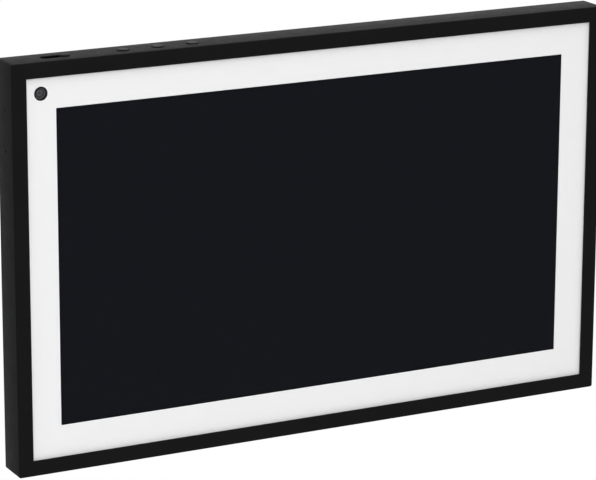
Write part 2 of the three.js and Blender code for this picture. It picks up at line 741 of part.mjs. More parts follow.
// Chassis plate: the shelf for the controls on top, posts for the cover screws, standoffs and two ribs
function makeChassis() {
  const far = innerWidth / 2 - 2 * fitGap;
  const high = innerHeight / 2 - 2 * fitGap;
  const step = controlEnd + buttonFlange / 2 + 4 * fitGap;
  const bayRight = microphoneBoardRight + sheetGap + microphoneDepth + fitGap;
  const bayLow = microphoneY[1] - microphoneMargin - fitGap;
  const bayHigh = microphoneY[0] + microphoneMargin + fitGap;
  const shape = new THREE.Shape([
    [-far, -high], [far, -high], [far, high], [step, high], [step, shelfTop], [-far, shelfTop],
    [-far, bayHigh], [bayRight, bayHigh], [bayRight, bayLow], [-far, bayLow],
  ].map(([x, y]) => new THREE.Vector2(x, y)));
  const plate = solid(prism(shape, chassisBack, chassisFront));
  const shelf = block(-far + 2 * frameWall, step, shelfLow, shelfTop, shelfBack, chassisFront);
  const seat = chassisFront - weld;
  const posts = coverScrewPlaces.map(([x, y]) => peg(postDiameter, flangeFront + fitGap, seat, x, y));
  const standoffs = corners.map(([across, up]) => peg(standoffDiameter, boardFront + sheetGap, seat,
    mainBoardShift + across * (mainBoardWidth / 2 - standoffInset), up * (boardTop - standoffInset)));
  const ribs = [-1, 1].map((side) => block(ribInset - far, far - ribInset,
    side * ribHeight - ribWidth / 2, side * ribHeight + ribWidth / 2, chassisBack - ribDepth, seat));
  const gate = block(cameraRibbonX - ribbonWidth, buttonRibbonX + ribbonWidth,
    ribHeight - ribWidth, ribHeight + ribWidth, chassisBack - 2 * ribDepth, chassisBack);
  const barrelHole = peg(barrelDiameter + 4 * fitGap, chassisBack - 1, chassisFront + 1,
    cameraX, cameraY, roundSides);
  const bayX = cameraBoardWidth / 2 + fitGap;
  const bayY = cameraBoardHeight / 2 + fitGap;
  const boardBay = block(cameraX - bayX, cameraX + bayX, cameraY - bayY, cameraY + bayY,
    shelfBack - 1, chassisBack);
  const screwHoles = coverScrewPlaces.map(([x, y]) => peg(
    pilotDiameter, flangeFront, chassisFront + 1, x, y, screwSides));
  const body = joined([plate, shelf, ...posts, ...standoffs, ...ribs]);
  place('chassis_plate', cutBy(body, [gate, barrelHole, boardBay, ...screwHoles]), finishes.darkPlastic);
}

// Main board with its shields, thermal pad and heat spreader, and two flat antennas on the chassis
const leadConnectorY = connectorSize / 2 - boardTop;
function makeMainBoard() {
  const boardShape = outline(mainBoardWidth, mainBoardHeight, mainBoardCorner, mainBoardShift);
  const board = solid(prism(boardShape, boardBack, boardFront));
  const half = connectorSize / 2;
  const plugTop = sheetLevel - fitGap;
  const halfPlug = ribbonWidth / 2 + fitGap;
  const ribbonPlugs = [cameraRibbonX, buttonRibbonX].map((x) => block(x - halfPlug, x + halfPlug,
    boardTop - 1.5 * connectorSize, boardTop - half, boardFront - weld, plugTop));
  const leadPlug = block(-half, half, leadConnectorY - half, leadConnectorY + half,
    boardBack - leadConnectorDepth, boardBack + weld);
  const chips = corners.filter(([across, up]) => across < 0 || up < 0).map(([across, up]) => {
    const x = mainBoardShift + across * (mainBoardWidth / 2 - chipInset);
    const y = up * (boardTop - chipInset);
    return block(x - chipWidth / 2, x + chipWidth / 2, y - chipHeight / 2, y + chipHeight / 2,
      boardBack - chipDepth, boardBack + weld);
  });
  place('main_board', joined([board, ...ribbonPlugs, leadPlug, ...chips]), finishes.boardGreen);
  const shield = (width, height) => prism(outline(width, height, boardCorner), 0, shieldHeight, fitGap, 1);
  place('processor_shield', shield(processorWidth, processorHeight), finishes.steel,
    0, processorRise, shieldBack);
  const radioX = boardRight - radioWidth / 2 - standoffDiameter;
  const radioY = boardTop - radioHeight / 2 - 3 * standoffInset;
  place('radio_shield', shield(radioWidth, radioHeight), finishes.steel, radioX, radioY, shieldBack);
  place('thermal_pad', prism(outline(thermalPadWidth, thermalPadHeight, boardCorner), 0, thermalPadThickness),
    finishes.padGrey, 0, processorRise, thermalPadBack);
  place('heat_spreader', prism(outline(spreaderWidth, spreaderHeight, spreaderCorner), 0, spreaderThickness),
    finishes.aluminium, 0, processorRise, spreaderBack);
  const sideways = innerWidth / 2 - antennaInsetSide;
  const upwards = innerHeight / 2 - antennaInsetTop;
  [['left', -1], ['right', 1]].forEach(([side, sign]) => {
    place(`${side}_antenna`, prism(outline(antennaLength, antennaHeight, boardCorner), 0, ribbonThickness),
      finishes.ribbonAmber, sign * sideways, sign * upwards, sheetLevel);
  });
}

// Speakers: a box on each side, with a round cone that faces the slots in the rear cover
function makeSpeakers() {
  const radius = coneDiameter / 2;
  const boxShape = outline(speakerWidth, speakerHeight, speakerCorner);
  const wellDiameter = coneDiameter + 2 * fitGap;
  const rimDiameter = wellDiameter + 2 * speakerRimWidth;
  const box = solid(prism(boxShape, speakerBack, chassisBack - sheetGap))
    .add(peg(rimDiameter, coverInside + fitGap, speakerBack + weld, 0, 0, roundSides))
    .subtract(peg(wellDiameter, coverInside, speakerBack + speakerWell, 0, 0, roundSides));
  const cap = dustCapDiameter / 2;
  const rollInside = radius - 2 * rollWidth;
  const profile = [[0, coneDepth / 3], [cap * 0.7, coneDepth / 2], [cap, coneDepth], [rollInside, rollDepth],
    [radius - rollWidth, 0], [radius, rollDepth], [radius, rollDepth + coneThickness],
    [radius - rollWidth, coneThickness], [rollInside + coneThickness / 2, rollDepth + coneThickness],
    [cap, coneDepth + coneThickness], [0, coneDepth + coneThickness]];
  [['left', -speakerX], ['right', speakerX]].forEach(([side, x]) => {
    place(`${side}_speaker_box`, box, finishes.darkPlastic, x, 0, 0);
    place(`${side}_speaker_cone`, turned(profile, roundSides).rotateX(Math.PI / 2), finishes.padGrey,
      x, 0, speakerBack + coneSeat);
  });
}

// Rear cover: a rounded tray on a flange, with a notch for the power plug, vents and speaker slots
function makeRearCover() {
  const tub = (width, height, corner, edge, back, steps) => {
    const tall = prism(outline(width, height, corner), back, frameBack + 3 * edge, edge, steps, steps);
    return solid(tall).subtract(block(-width, width, -height, height, flangeFront, frameBack + 4 * edge));
  };
  const raised = tub(coverWidth, coverHeight, coverCorner, coverEdge, coverBack, 4);
  const flangeX = innerWidth / 2 - fitGap;
  const flangeY = innerHeight / 2 - fitGap;
  const flange = block(-flangeX, flangeX, -flangeY, flangeY, frameBack, flangeFront);
  const halfNotch = notchWidth / 2;
  const notch = block(-halfNotch, halfNotch, -coverHeight, notchTop, 0, frameBack);
  const inside = tub(coverWidth - 2 * coverWall, coverHeight - 2 * coverWall, coverCorner - coverWall,
    coverEdge - 1, coverInside, 2)
    .subtract(block(-halfNotch - coverWall, halfNotch + coverWall, -coverHeight, notchTop + coverWall,
      coverBack, flangeFront + 1));
  const wellTop = keyholeRise / 2 + keyholeShank / 2 + keyholeWellMargin;
  const wellLow = -keyholeRise / 2 - keyholeHead / 2 - keyholeWellMargin;
  const wellFront = coverBack + keyholePocket;
  const well = (x, wall, back, front) => {
    const reach = keyholeWellWidth / 2 + wall;
    return block(x - reach, x + reach, wellLow - wall, wellTop + wall, back, front);
  };
  const wells = keyholeX.map((x) => well(x, coverWall, coverBack + weld, wellFront + coverWall));
  const wellHollows = keyholeX.map((x) => well(x, 0, 0, wellFront));
  const bossTop = headSink + hangerScrewLength + fitGap;
  const hangerBosses = hangerScrewPlaces.map(([x, y]) => peg(
    postDiameter, coverInside - weld, bossTop + coverWall / 2, x, y));
  const hangerPilots = hangerScrewPlaces.map(([x, y]) => peg(pilotDiameter, 0, bossTop, x, y, screwSides));
  const padSeats = wallPadPlaces.map(([x, y]) => peg(
    wallPadDiameter + 2 * fitGap, 0, coverBack + wallPadSeat, x, y, roundSides));
  const plugHole = uprightPeg(plugHoleDiameter, notchTop - coverWall, notchTop + 2 * coverWall,
    0, socketLevel, roundSides);
  const screwSeats = coverScrewPlaces.flatMap(([x, y]) => [
    peg(coverScrewHead + 2 * fitGap, 0, frameBack + headSink + coverScrewHeadDepth + sheetGap, x, y),
    peg(pilotDiameter, frameBack, flangeFront + 1, x, y, screwSides)]);
  const slot = (x, y, width, height) => solid(prism(slotOutline(width, height, x, y), 0, coverInside + 1));
  const ventY = coverHeight / 2 - ventInset;
  const count = (length) => Array.from({ length }, (unused, index) => index);
  const upperVents = count(upperVentCount).map((index) => slot(
    (index + 0.5 - upperVentCount / 2) * ventPitch, ventY, ventWidth, ventLength));
  const lowerVents = [-1, 1].flatMap((side) => count(lowerVentCount).map((index) => slot(
    side * (halfNotch + lowerVentGap + index * ventPitch), -ventY, ventWidth, ventLength)));
  const speakerSlots = [-1, 1].flatMap((side) => count(speakerSlotCount).map((index) => slot(
    side * speakerX, (index + 0.5 - speakerSlotCount / 2) * speakerSlotPitch, speakerSlotLength, ventWidth)));
  const shell = joined([cutBy(raised.add(flange), [notch, inside]), ...wells, ...hangerBosses]);
  place('rear_cover', cutBy(shell, [...wellHollows, ...hangerPilots, ...padSeats, plugHole, ...screwSeats,
    ...upperVents, ...lowerVents, ...speakerSlots]), finishes.coverBlack);
}

// Power socket behind the notch's top wall, and its inner lead to the main board
function makePowerSocket() {
  const half = socketWidth / 2;
  const floor = socketLength - coverWall - runGap;
  const body = block(-half, half, 0, socketLength, -socketDepth / 2, socketDepth / 2)
    .subtract(uprightPeg(socketBore, -1, floor, 0, 0, roundSides))
    .add(uprightPeg(socketPin, 1, floor + weld, 0, 0));
  place('power_socket', body, finishes.darkPlastic, 0, socketLow, socketLevel);
  const start = new THREE.Vector3(0, socketLow + socketLength + fitGap, socketLevel);
  const end = new THREE.Vector3(
    0, leadConnectorY - connectorSize / 2 - fitGap, boardBack - leadConnectorDepth / 2);
  const route = new THREE.CatmullRomCurve3([
    start,
    new THREE.Vector3(0, start.y + leadDiameter, start.z),
    start.clone().lerp(end, 0.5),
    new THREE.Vector3(0, end.y - leadDiameter, end.z),
    end,
  ]);
  const lead = new THREE.ExtrudeGeometry(disc(leadDiameter), {
    steps: leadSteps, extrudePath: route, curveSegments: 5,
  });
  place('power_lead', lead, finishes.rubber);
}

// Hanger plate with its two keyholes and countersunk screw holes
function makeHangerPlate() {
  const plate = solid(prism(outline(hangerWidth, hangerHeight, hangerCorner), 0, hangerThickness));
  const keyholes = keyholeX.flatMap((x) => [
    peg(keyholeHead, -1, hangerThickness + 1, x, -keyholeRise / 2, roundSides),
    solid(prism(outline(keyholeShank, keyholeRise + keyholeShank, keyholeShank / 2, x, keyholeShank / 2),
      -1, hangerThickness + 1))]);
  const sinkNarrow = screwShank / 2 + fitGap - weld;
  const sinkWide = hangerScrewHead / 2 + fitGap + weld;
  const sinkDepth = hangerThickness + 2 * weld;
  const sinks = hangerScrewPlaces.map(([x, y]) => solid(
    new THREE.CylinderGeometry(sinkNarrow, sinkWide, sinkDepth, screwSides)
      .rotateX(Math.PI / 2).translate(x, y, hangerThickness / 2)));
  place('hanger_plate', cutBy(plate, [...keyholes, ...sinks]), finishes.steel);
}

// Rubber pads at the cover's corners, as high as the hanger plate
function makeWallPads() {
  const padHeight = coverBack + wallPadSeat - sheetGap;
  wallPadPlaces.forEach(([x, y], index) => {
    const pad = prism(disc(wallPadDiameter), 0, padHeight, wallPadEdge, 1, 6);
    place(`${cornerNames[index]}_wall_pad`, pad, finishes.rubber, x, y, 0);
  });
}

// Screws: pan heads in the cover's flange, countersunk heads in the hanger plate
function makeScrews() {
  const shank = screwShank / 2;
  const recess = screwRecess / 2;
  const coverHead = coverScrewHead / 2;
  const coverLength = coverScrewTip - frameBack - headSink;
  const headFace = [[0, screwRecessDepth], [recess, screwRecessDepth], [recess, 0]];
  const panProfile = [...headFace, [coverHead - screwEdge, 0], [coverHead, screwEdge],
    [coverHead, coverScrewHeadDepth], [shank, coverScrewHeadDepth],
    [shank, coverLength - screwPoint], [0, coverLength]];
  const sunkProfile = [...headFace, [hangerScrewHead / 2, 0], [shank, hangerThickness - headSink],
    [shank, hangerScrewLength - screwPoint], [0, hangerScrewLength]];
  const drive = (name, profile, [x, y], level) => {
    const screw = turned(profile, screwSides).rotateX(Math.PI / 2);
    place(name, screw, finishes.screwBlack, x, y, level);
  };
  coverScrewPlaces.forEach((spot, index) => {
    drive(`cover_screw_${index + 1}`, panProfile, spot, frameBack + headSink);
  });
  hangerScrewPlaces.forEach((spot, index) => {
    drive(`hanger_screw_${index + 1}`, sunkProfile, spot, headSink);
  });
}

makeFrontFrame();
makePaneAndMat();
makeDisplayStack();
makePanelDriver();
makeCamera();
makeShutterSlider();
makeShutterGuide();
makeButtons();
makeMicrophones();
makeChassis();
makeMainBoard();
makeSpeakers();
makeRearCover();
makePowerSocket();
makeHangerPlate();
makeWallPads();
makeScrews();

export default display;
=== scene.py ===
# %% [markdown]
# # A wall display in a picture frame
#
# The object is a flat display that hangs on a wall and looks like a framed picture: a black frame, a pane,
# a white mat and a dark screen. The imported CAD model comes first, as a fixed frame with its true sizes.
# The pieces that show get a finer mesh here, and every piece gets its finish.

# %% Load the frame
import json
from math import cos, pi, radians, sin

import bmesh
import bpy
from mathutils import Matrix, Vector


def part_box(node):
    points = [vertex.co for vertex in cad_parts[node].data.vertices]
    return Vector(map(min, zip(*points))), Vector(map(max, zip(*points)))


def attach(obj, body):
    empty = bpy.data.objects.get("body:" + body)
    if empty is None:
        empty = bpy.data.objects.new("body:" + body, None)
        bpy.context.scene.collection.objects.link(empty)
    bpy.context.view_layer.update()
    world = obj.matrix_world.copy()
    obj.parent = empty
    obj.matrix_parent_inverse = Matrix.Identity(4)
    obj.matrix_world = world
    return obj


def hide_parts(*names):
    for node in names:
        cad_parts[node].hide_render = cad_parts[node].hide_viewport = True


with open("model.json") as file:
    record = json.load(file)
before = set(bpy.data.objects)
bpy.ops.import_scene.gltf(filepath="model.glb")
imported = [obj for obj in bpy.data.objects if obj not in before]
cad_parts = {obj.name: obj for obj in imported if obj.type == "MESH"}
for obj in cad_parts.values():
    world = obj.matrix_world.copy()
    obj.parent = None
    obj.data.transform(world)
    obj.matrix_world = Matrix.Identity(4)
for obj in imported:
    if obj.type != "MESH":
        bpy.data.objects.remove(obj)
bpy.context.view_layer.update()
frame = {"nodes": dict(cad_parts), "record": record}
mm = 0.001

# %% [markdown]
# ## The camera
#
# The photograph was taken from the left of the display and a little above it, with a long lens, so its edges
# stay nearly parallel. A camera is most easily placed the other way round: the three angles that turn it come
# first, then the place of the display's front as the camera sees it, and from both follows where it stands.

# %% Camera
camera_yaw = -0.47366
camera_pitch = 0.26762
camera_roll = 0.00408
front_seen_at = Vector((13.365, 2.536, -1930.3)) * mm
lens_length = 190.0
sensor_width = 36.0

frame_low, frame_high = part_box("front_frame")
front_centre = Vector((0, frame_low.y, 0))


def add_camera():
    turn = (Matrix.Rotation(camera_yaw, 3, "Z") @ Matrix.Rotation(pi / 2 - camera_pitch, 3, "X")
            @ Matrix.Rotation(camera_roll, 3, "Z"))
    bpy.ops.object.camera_add()
    camera = bpy.context.object
    camera.data.lens = lens_length
    camera.data.sensor_width = sensor_width
    camera.data.clip_end = 50
    camera.matrix_world = Matrix.Translation(front_centre - turn @ front_seen_at) @ turn.to_4x4()
    bpy.context.scene.camera = camera
    print("camera stands at", [round(value, 3) for value in camera.matrix_world.translation])


add_camera()

# %% [markdown]
# ## Light, floor and background
#
# The photograph is a plain product picture on white, so a white world gives the background. It is at full
# strength only where the camera, a glass or a gloss looks at it, and weaker where it lights the object, so
# white never has to come from too much light. A gloss that looks downwards sees it weaker too, because the
# photograph's left side is darker than its top, and both are seen at a flat angle. The Standard view shows a
# colour about as it is written.

# %% World
world_light = 0.5
low_gloss = 0.3
low_gloss_band = (-0.1, 0.05)


def link(tree, source, output, target, socket):
    tree.links.new(source.outputs[output], target.inputs[socket])


def make_world():
    world = bpy.data.worlds.new("white_room")
    bpy.context.scene.world = world
    world.use_nodes = True
    tree = world.node_tree
    tree.nodes.clear()
    light_path = tree.nodes.new("ShaderNodeLightPath")
    direction = tree.nodes.new("ShaderNodeTexCoord")
    parts = tree.nodes.new("ShaderNodeSeparateXYZ")
    rise = tree.nodes.new("ShaderNodeMapRange")
    for socket, value in zip(("From Min", "From Max", "To Min"), (*low_gloss_band, low_gloss)):
        rise.inputs[socket].default_value = value
    gloss, seen, seen_through = [tree.nodes.new("ShaderNodeMath") for step in range(3)]
    for step, operation in ((gloss, "MULTIPLY"), (seen, "MAXIMUM"), (seen_through, "MAXIMUM")):
        step.operation = operation
    link(tree, direction, "Generated", parts, 0)
    link(tree, parts, "Z", rise, "Value")
    link(tree, light_path, "Is Glossy Ray", gloss, 0)
    link(tree, rise, "Result", gloss, 1)
    link(tree, light_path, "Is Camera Ray", seen, 0)
    link(tree, gloss, 0, seen, 1)
    link(tree, seen, 0, seen_through, 0)
    link(tree, light_path, "Is Transmission Ray", seen_through, 1)
    light = tree.nodes.new("ShaderNodeBackground")
    white = tree.nodes.new("ShaderNodeBackground")
    light.inputs["Strength"].default_value = world_light
    for background in (light, white):
        background.inputs["Color"].default_value = (1, 1, 1, 1)
    mix = tree.nodes.new("ShaderNodeMixShader")
    out = tree.nodes.new("ShaderNodeOutputWorld")
    link(tree, seen_through, 0, mix, 0)
    link(tree, light, 0, mix, 1)
    link(tree, white, 0, mix, 2)
    link(tree, mix, 0, out, "Surface")


make_world()
bpy.context.scene.view_settings.view_transform = "Standard"
print("world light:", world_light, "of the white behind the display")

# %% [markdown]
# ### Lamps
#
# Three wide and soft lamps light the display from above, from the front and from behind. Each is a disc that
# is turned to the middle of the display. The camera and gloss don't see them, so they leave no bright spot
# in the pane or on the frame.

# %% Lamps
lamps = {
    "lamp_above": {"place": (-0.3, -0.5, 1.7), "power": 14, "size": 1.6},
    "lamp_front": {"place": (-1.0, -2.6, 1.2), "power": 43, "size": 1.8},
    "lamp_behind": {"place": (0.6, 2.2, 0.9), "power": 20, "size": 1.8},
}


def add_lamp(name, place, power, size):
    bpy.ops.object.light_add(type="AREA", location=place)
    lamp = bpy.context.object
    lamp.name = name
    lamp.data.shape = "DISK"
    lamp.data.size = size
    lamp.data.energy = power
    lamp.rotation_euler = (-Vector(place)).to_track_quat("-Z", "Y").to_euler()
    lamp.visible_camera = False
    lamp.visible_glossy = False


for lamp_name, facts in lamps.items():
    add_lamp(lamp_name, **facts)
print("lamps:", len(lamps))

# %% [markdown]
# ### Floor
#
# The floor is a pale disc well below the display, because the display hangs on a wall. Its underside is
# clear, so it hides nothing from a view from below.

# %% Floor
floor_level = -0.5
floor_radius = 0.9


def make_floor():
    bpy.ops.mesh.primitive_circle_add(vertices=96, radius=floor_radius, fill_type="NGON",
                                      location=(0, 0, floor_level))
    floor = bpy.context.object
    floor.name = "floor"
    material = bpy.data.materials.new("pale_floor")
    material.use_nodes = True
    tree = material.node_tree
    paint = tree.nodes["Principled BSDF"]
    paint.inputs["Base Color"].default_value = (0.86, 0.86, 0.86, 1)
    paint.inputs["Roughness"].default_value = 0.8
    clear = tree.nodes.new("ShaderNodeBsdfTransparent")
    side = tree.nodes.new("ShaderNodeNewGeometry")
    mix = tree.nodes.new("ShaderNodeMixShader")
    link(tree, side, "Backfacing", mix, 0)
    link(tree, paint, 0, mix, 1)
    link(tree, clear, 0, mix, 2)
    link(tree, mix, 0, tree.nodes["Material Output"], "Surface")
    floor.data.materials.append(material)


make_floor()
print("floor at", floor_level, "m")

# %% [markdown]
# ## Finishes
#
# Every finish starts from a base colour and a roughness, and gets what the real surface has: a fine grain
# in moulded plastic, brushing in sheet metal, a weave of traces on a circuit board. The patterns read the
# object's own coordinates, which are metres, so a scale of 1 / 0.4 mm gives a grain of 0.4 mm. Most of a
# noise's values lie between 0.3 and 0.7, so that is the range that gets spread out.

# %% A finish under way
finishes = {}
noise_low, noise_high = 0.3, 0.7


class Finish:
    """A material under way: its node tree, its shader and its object coordinates."""

    def __init__(self, name, color, roughness, specular=0.5, metallic=0.0):
        self.material = bpy.data.materials.new(name)
        self.material.use_nodes = True
        self.material.diffuse_color = (*color, 1)
        self.tree = self.material.node_tree
        self.shader = self.tree.nodes["Principled BSDF"]
        self.place = self.tree.nodes.new("ShaderNodeTexCoord").outputs["Object"]
        self.color = color
        self.shader.inputs["Base Color"].default_value = (*color, 1)
        self.shader.inputs["Roughness"].default_value = roughness
        self.shader.inputs["Specular IOR Level"].default_value = specular
        self.shader.inputs["Metallic"].default_value = metallic
        finishes[name] = self.material

    def node(self, kind, **settings):
        made = self.tree.nodes.new(kind)
        for key, value in settings.items():
            setattr(made, key, value)
        return made

    def join(self, source, target):
        self.tree.links.new(source, target)

    def noise(self, grain, detail=3.0, stretch=(1, 1, 1)):
        """Noise with a grain of this size in metres, stretched along an axis by a scale below 1."""
        mapping = self.node("ShaderNodeMapping")
        mapping.inputs["Scale"].default_value = stretch
        self.join(self.place, mapping.inputs["Vector"])
        noise = self.node("ShaderNodeTexNoise")
        noise.inputs["Scale"].default_value = 1 / grain
        noise.inputs["Detail"].default_value = detail
        self.join(mapping.outputs["Vector"], noise.inputs["Vector"])
        return noise.outputs["Fac"]

    def vary_roughness(self, value, low, high):
        """Spread a value between two numbers, and take it as the roughness."""
        spreader = self.node("ShaderNodeMapRange")
        limits = {"From Min": noise_low, "From Max": noise_high, "To Min": low, "To Max": high}
        for socket, limit in limits.items():
            spreader.inputs[socket].default_value = limit
        self.join(value, spreader.inputs["Value"])
        self.join(spreader.outputs["Result"], self.shader.inputs["Roughness"])

    def shade(self, value, dark, light):
        """Vary the base colour between two multiples of itself."""
        ramp = self.node("ShaderNodeValToRGB")
        for stop, position, tone in zip(ramp.color_ramp.elements, (noise_low, noise_high), (dark, light)):
            stop.position = position
            stop.color = self.tinted(tone)
        self.join(value, ramp.inputs["Fac"])
        self.join(ramp.outputs["Color"], self.shader.inputs["Base Color"])

    def relief(self, value, depth, strength):
        """Raise the surface by a value, by this depth in metres."""
        bump = self.node("ShaderNodeBump")
        bump.inputs["Strength"].default_value = strength
        bump.inputs["Distance"].default_value = depth
        self.join(value, bump.inputs["Height"])
        self.join(bump.outputs["Normal"], self.shader.inputs["Normal"])

    def tinted(self, tone):
        """The base colour times a number."""
        return (*[part * tone for part in self.color], 1)

    def math(self, operation, value, other=0):
        """One step of arithmetic on a value, with a number or with another value."""
        step = self.node("ShaderNodeMath", operation=operation)
        self.join(value, step.inputs[0])
        if isinstance(other, (int, float)):
            step.inputs[1].default_value = other
        else:
            self.join(other, step.inputs[1])
        return step.outputs[0]

    def distance_from(self, point):
        reach = self.node("ShaderNodeVectorMath", operation="DISTANCE")
        reach.inputs[1].default_value = point
        self.join(self.place, reach.inputs[0])
        return reach.outputs["Value"]

    def black_where_zero(self, factor, black):
        """Mix the base colour from this black to a socket, which the caller fills. Returns that socket."""
        tone = self.node("ShaderNodeMix", data_type="RGBA")
        tone.inputs["A"].default_value = black
        self.join(factor, tone.inputs["Factor"])
        self.join(tone.outputs["Result"], self.shader.inputs["Base Color"])
        return tone.inputs["B"]

    def let_through(self, share):
        """Mix the shader with clear, so that only this share of it stays."""
        clear = self.node("ShaderNodeBsdfTransparent")
        mix = self.node("ShaderNodeMixShader")
        mix.inputs["Fac"].default_value = share
        self.join(clear.outputs[0], mix.inputs[1])
        self.join(self.shader.outputs[0], mix.inputs[2])
        self.join(mix.outputs[0], self.tree.nodes["Material Output"].inputs["Surface"])


# %% [markdown]
# ### Plastics
#
# The frame is a fine satin black that drinks most of the light. Here it shows about 26 of 255 at its front,
# and about 71 on top, where the eye meets it at a flat angle. A low specular level and a small base colour
# give that. In the photograph the front runs from 43 at the top to 19 at the bottom, which this even light
# doesn't give. The rear cover has a coarser spark-eroded grain, and rubber has hardly any gloss.

# %% Plastics
def moulded(name, color, roughness, specular, grain=0.4 * mm, depth=0.01 * mm):
    """Moulded plastic: a fine even grain, and slow faint changes of tone and gloss."""
    tone_patch, gloss_patch, gloss_change = 40 * mm, 6 * mm, 0.04
    plastic = Finish(name, color, roughness, specular)
    plastic.shade(plastic.noise(tone_patch), 0.92, 1.08)
    plastic.vary_roughness(plastic.noise(gloss_patch), roughness - gloss_change, roughness + gloss_change)
    plastic.relief(plastic.noise(grain), depth, 0.5)


moulded("frame_black", (0.0064, 0.0064, 0.0067), 0.5, 0.045, 0.5 * mm, 0.012 * mm)
moulded("cover_black", (0.012, 0.012, 0.0125), 0.6, 0.3, 0.9 * mm, 0.03 * mm)
moulded("button_black", (0.006, 0.006, 0.0063), 0.45, 0.09, 0.3 * mm, 0.006 * mm)
moulded("slider_black", (0.0085, 0.0085, 0.0088), 0.5, 0.055, 0.3 * mm, 0.008 * mm)
moulded("barrel_black", (0.05, 0.05, 0.052), 0.45, 0.15, 0.2 * mm, 0.004 * mm)
moulded("inner_plastic", (0.022, 0.022, 0.023), 0.55, 0.4, 0.8 * mm, 0.015 * mm)
moulded("rubber", (0.010, 0.010, 0.010), 0.85, 0.2, 0.25 * mm, 0.02 * mm)
moulded("soft_grey", (0.26, 0.30, 0.36), 0.8, 0.25, 0.6 * mm, 0.02 * mm)
moulded("speaker_cone", (0.03, 0.03, 0.031), 0.8, 0.2, 0.7 * mm, 0.04 * mm)
moulded("white_sheet", (0.88, 0.88, 0.87), 0.6, 0.3, 1.2 * mm, 0.004 * mm)
print("plastics:", len(finishes))

# %% [markdown]
# ### Mat
#
# The mat is a matt white card, and black close round its camera window. The black could be a piece of its
# own, but as a step in the finish it lies in the card itself. The step is in the distance from the window's
# middle.

# %% Mat
camera_x, camera_z = -181.9 * mm, 106.875 * mm
printed_ring = 8.4 * mm
mat_low, mat_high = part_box("mat_border")
mat_front, mat_back = mat_low.y, mat_high.y


def mat_white():
    card = Finish("mat_white", (0.92, 0.918, 0.925), 0.75, 0.1)
    card.relief(card.noise(0.35 * mm, 4.0), 0.012 * mm, 0.35)
    paper = card.node("ShaderNodeValToRGB")
    for stop, tone in zip(paper.color_ramp.elements, (0.99, 1)):
        stop.color = card.tinted(tone)
    card.join(card.noise(60 * mm), paper.inputs["Fac"])
    outside = card.math("GREATER_THAN", card.distance_from((camera_x, mat_front, camera_z)), printed_ring / 2)
    card.join(paper.outputs["Color"], card.black_where_zero(outside, (0.006, 0.006, 0.0065, 1)))


mat_white()
print("camera window at", round(camera_x / mm, 3), round(camera_z / mm, 3), "mm")

# %% [markdown]
# ### Pane
#
# The pane in front of the mat has a coating against reflections, so it is nearly invisible. It could be
# true glass, but through a thin flat pane the bending of light hardly shows, so a little gloss mixed with
# clear is enough.

# %% Pane
pane_gloss = 0.03


def pane():
    glass = Finish("pane", (0.02, 0.022, 0.024), 0.06, 0.5)
    glass.vary_roughness(glass.noise(90 * mm), 0.04, 0.08)
    glass.let_through(pane_gloss)


pane()
print("share of gloss in the pane:", pane_gloss)

# %% [markdown]
# ### Screen
#
# The screen is off, a dark blue grey that goes near black in a thin band along the edge of its window. That
# band is a step in the object's coordinates, 0.9 mm inside the window's edge.

# %% Screen
window_width = 344.6 * mm
window_height = 194.5 * mm
screen_edge = 0.9 * mm


def screen():
    cell = Finish("screen", (0.0047, 0.0053, 0.0081), 0.35, 0.02)
    parts = cell.node("ShaderNodeSeparateXYZ")
    cell.join(cell.place, parts.inputs[0])
    inside = [cell.math("LESS_THAN", cell.math("ABSOLUTE", parts.outputs[axis]), size / 2 - screen_edge)
              for axis, size in (("X", window_width), ("Z", window_height))]
    # Near black in a band 0.9 mm wide along the window's edge, dark blue grey inside it.
    lit = cell.black_where_zero(cell.math("MULTIPLY", *inside), (0.0012, 0.0012, 0.0014, 1))
    lit.default_value = (*cell.color, 1)


screen()
print("window:", window_width / mm, "x", window_height / mm, "mm")

# %% [markdown]
# ### Metals
#
# Sheet metal keeps fine marks in the direction in which it was drawn, so its noise is stretched that way.
# The screws' black has no such direction. Most of the metal hides inside, but it shows when the display is
# taken apart.

# %% Metals
def brushed(name, color, roughness, stretch):
    """Sheet metal with fine drawing marks along one direction."""
    metal = Finish(name, color, roughness, metallic=1.0)
    marks = metal.noise(0.3 * mm, 2.0, stretch)
    metal.shade(marks, 0.9, 1.06)
    metal.vary_roughness(marks, roughness - 0.08, roughness + 0.1)
    metal.relief(marks, 0.004 * mm, 0.4)


brushed("steel", (0.60, 0.61, 0.62), 0.36, (0.06, 1, 1))
brushed("hanger_steel", (0.55, 0.56, 0.57), 0.42, (1, 1, 0.05))
brushed("aluminium", (0.70, 0.71, 0.72), 0.4, (1, 1, 0.05))
brushed("screw_black", (0.06, 0.06, 0.063), 0.42, (1, 1, 1))
print("finishes so far:", len(finishes))

# %% [markdown]
# ### Circuit board and ribbon
#
# These hide inside too. The board's traces are a fine net of cells under the green mask, and the ribbon's
# are stripes along its length.

# %% Circuit board and ribbon
def circuit_board():
    board = Finish("circuit_board", (0.012, 0.075, 0.035), 0.35, 0.5)
    traces = board.node("ShaderNodeTexVoronoi", distance="MANHATTAN", feature="F1")
    traces.inputs["Scale"].default_value = 1 / (2.2 * mm)
    board.join(board.place, traces.inputs["Vector"])
    board.shade(traces.outputs["Distance"], 0.75, 1.5)
    board.relief(traces.outputs["Distance"], 0.03 * mm, 0.5)


def ribbon():
    film = Finish("ribbon", (0.42, 0.17, 0.03), 0.35, 0.5)
    stripes = film.node("ShaderNodeTexWave", bands_direction="X")
    stripes.inputs["Scale"].default_value = 0.25 / mm
    film.join(film.place, stripes.inputs["Vector"])
    film.shade(stripes.outputs["Fac"], 0.7, 1.15)
    film.relief(stripes.outputs["Fac"], 0.01 * mm, 0.5)


circuit_board()
ribbon()
print("finishes so far:", len(finishes))
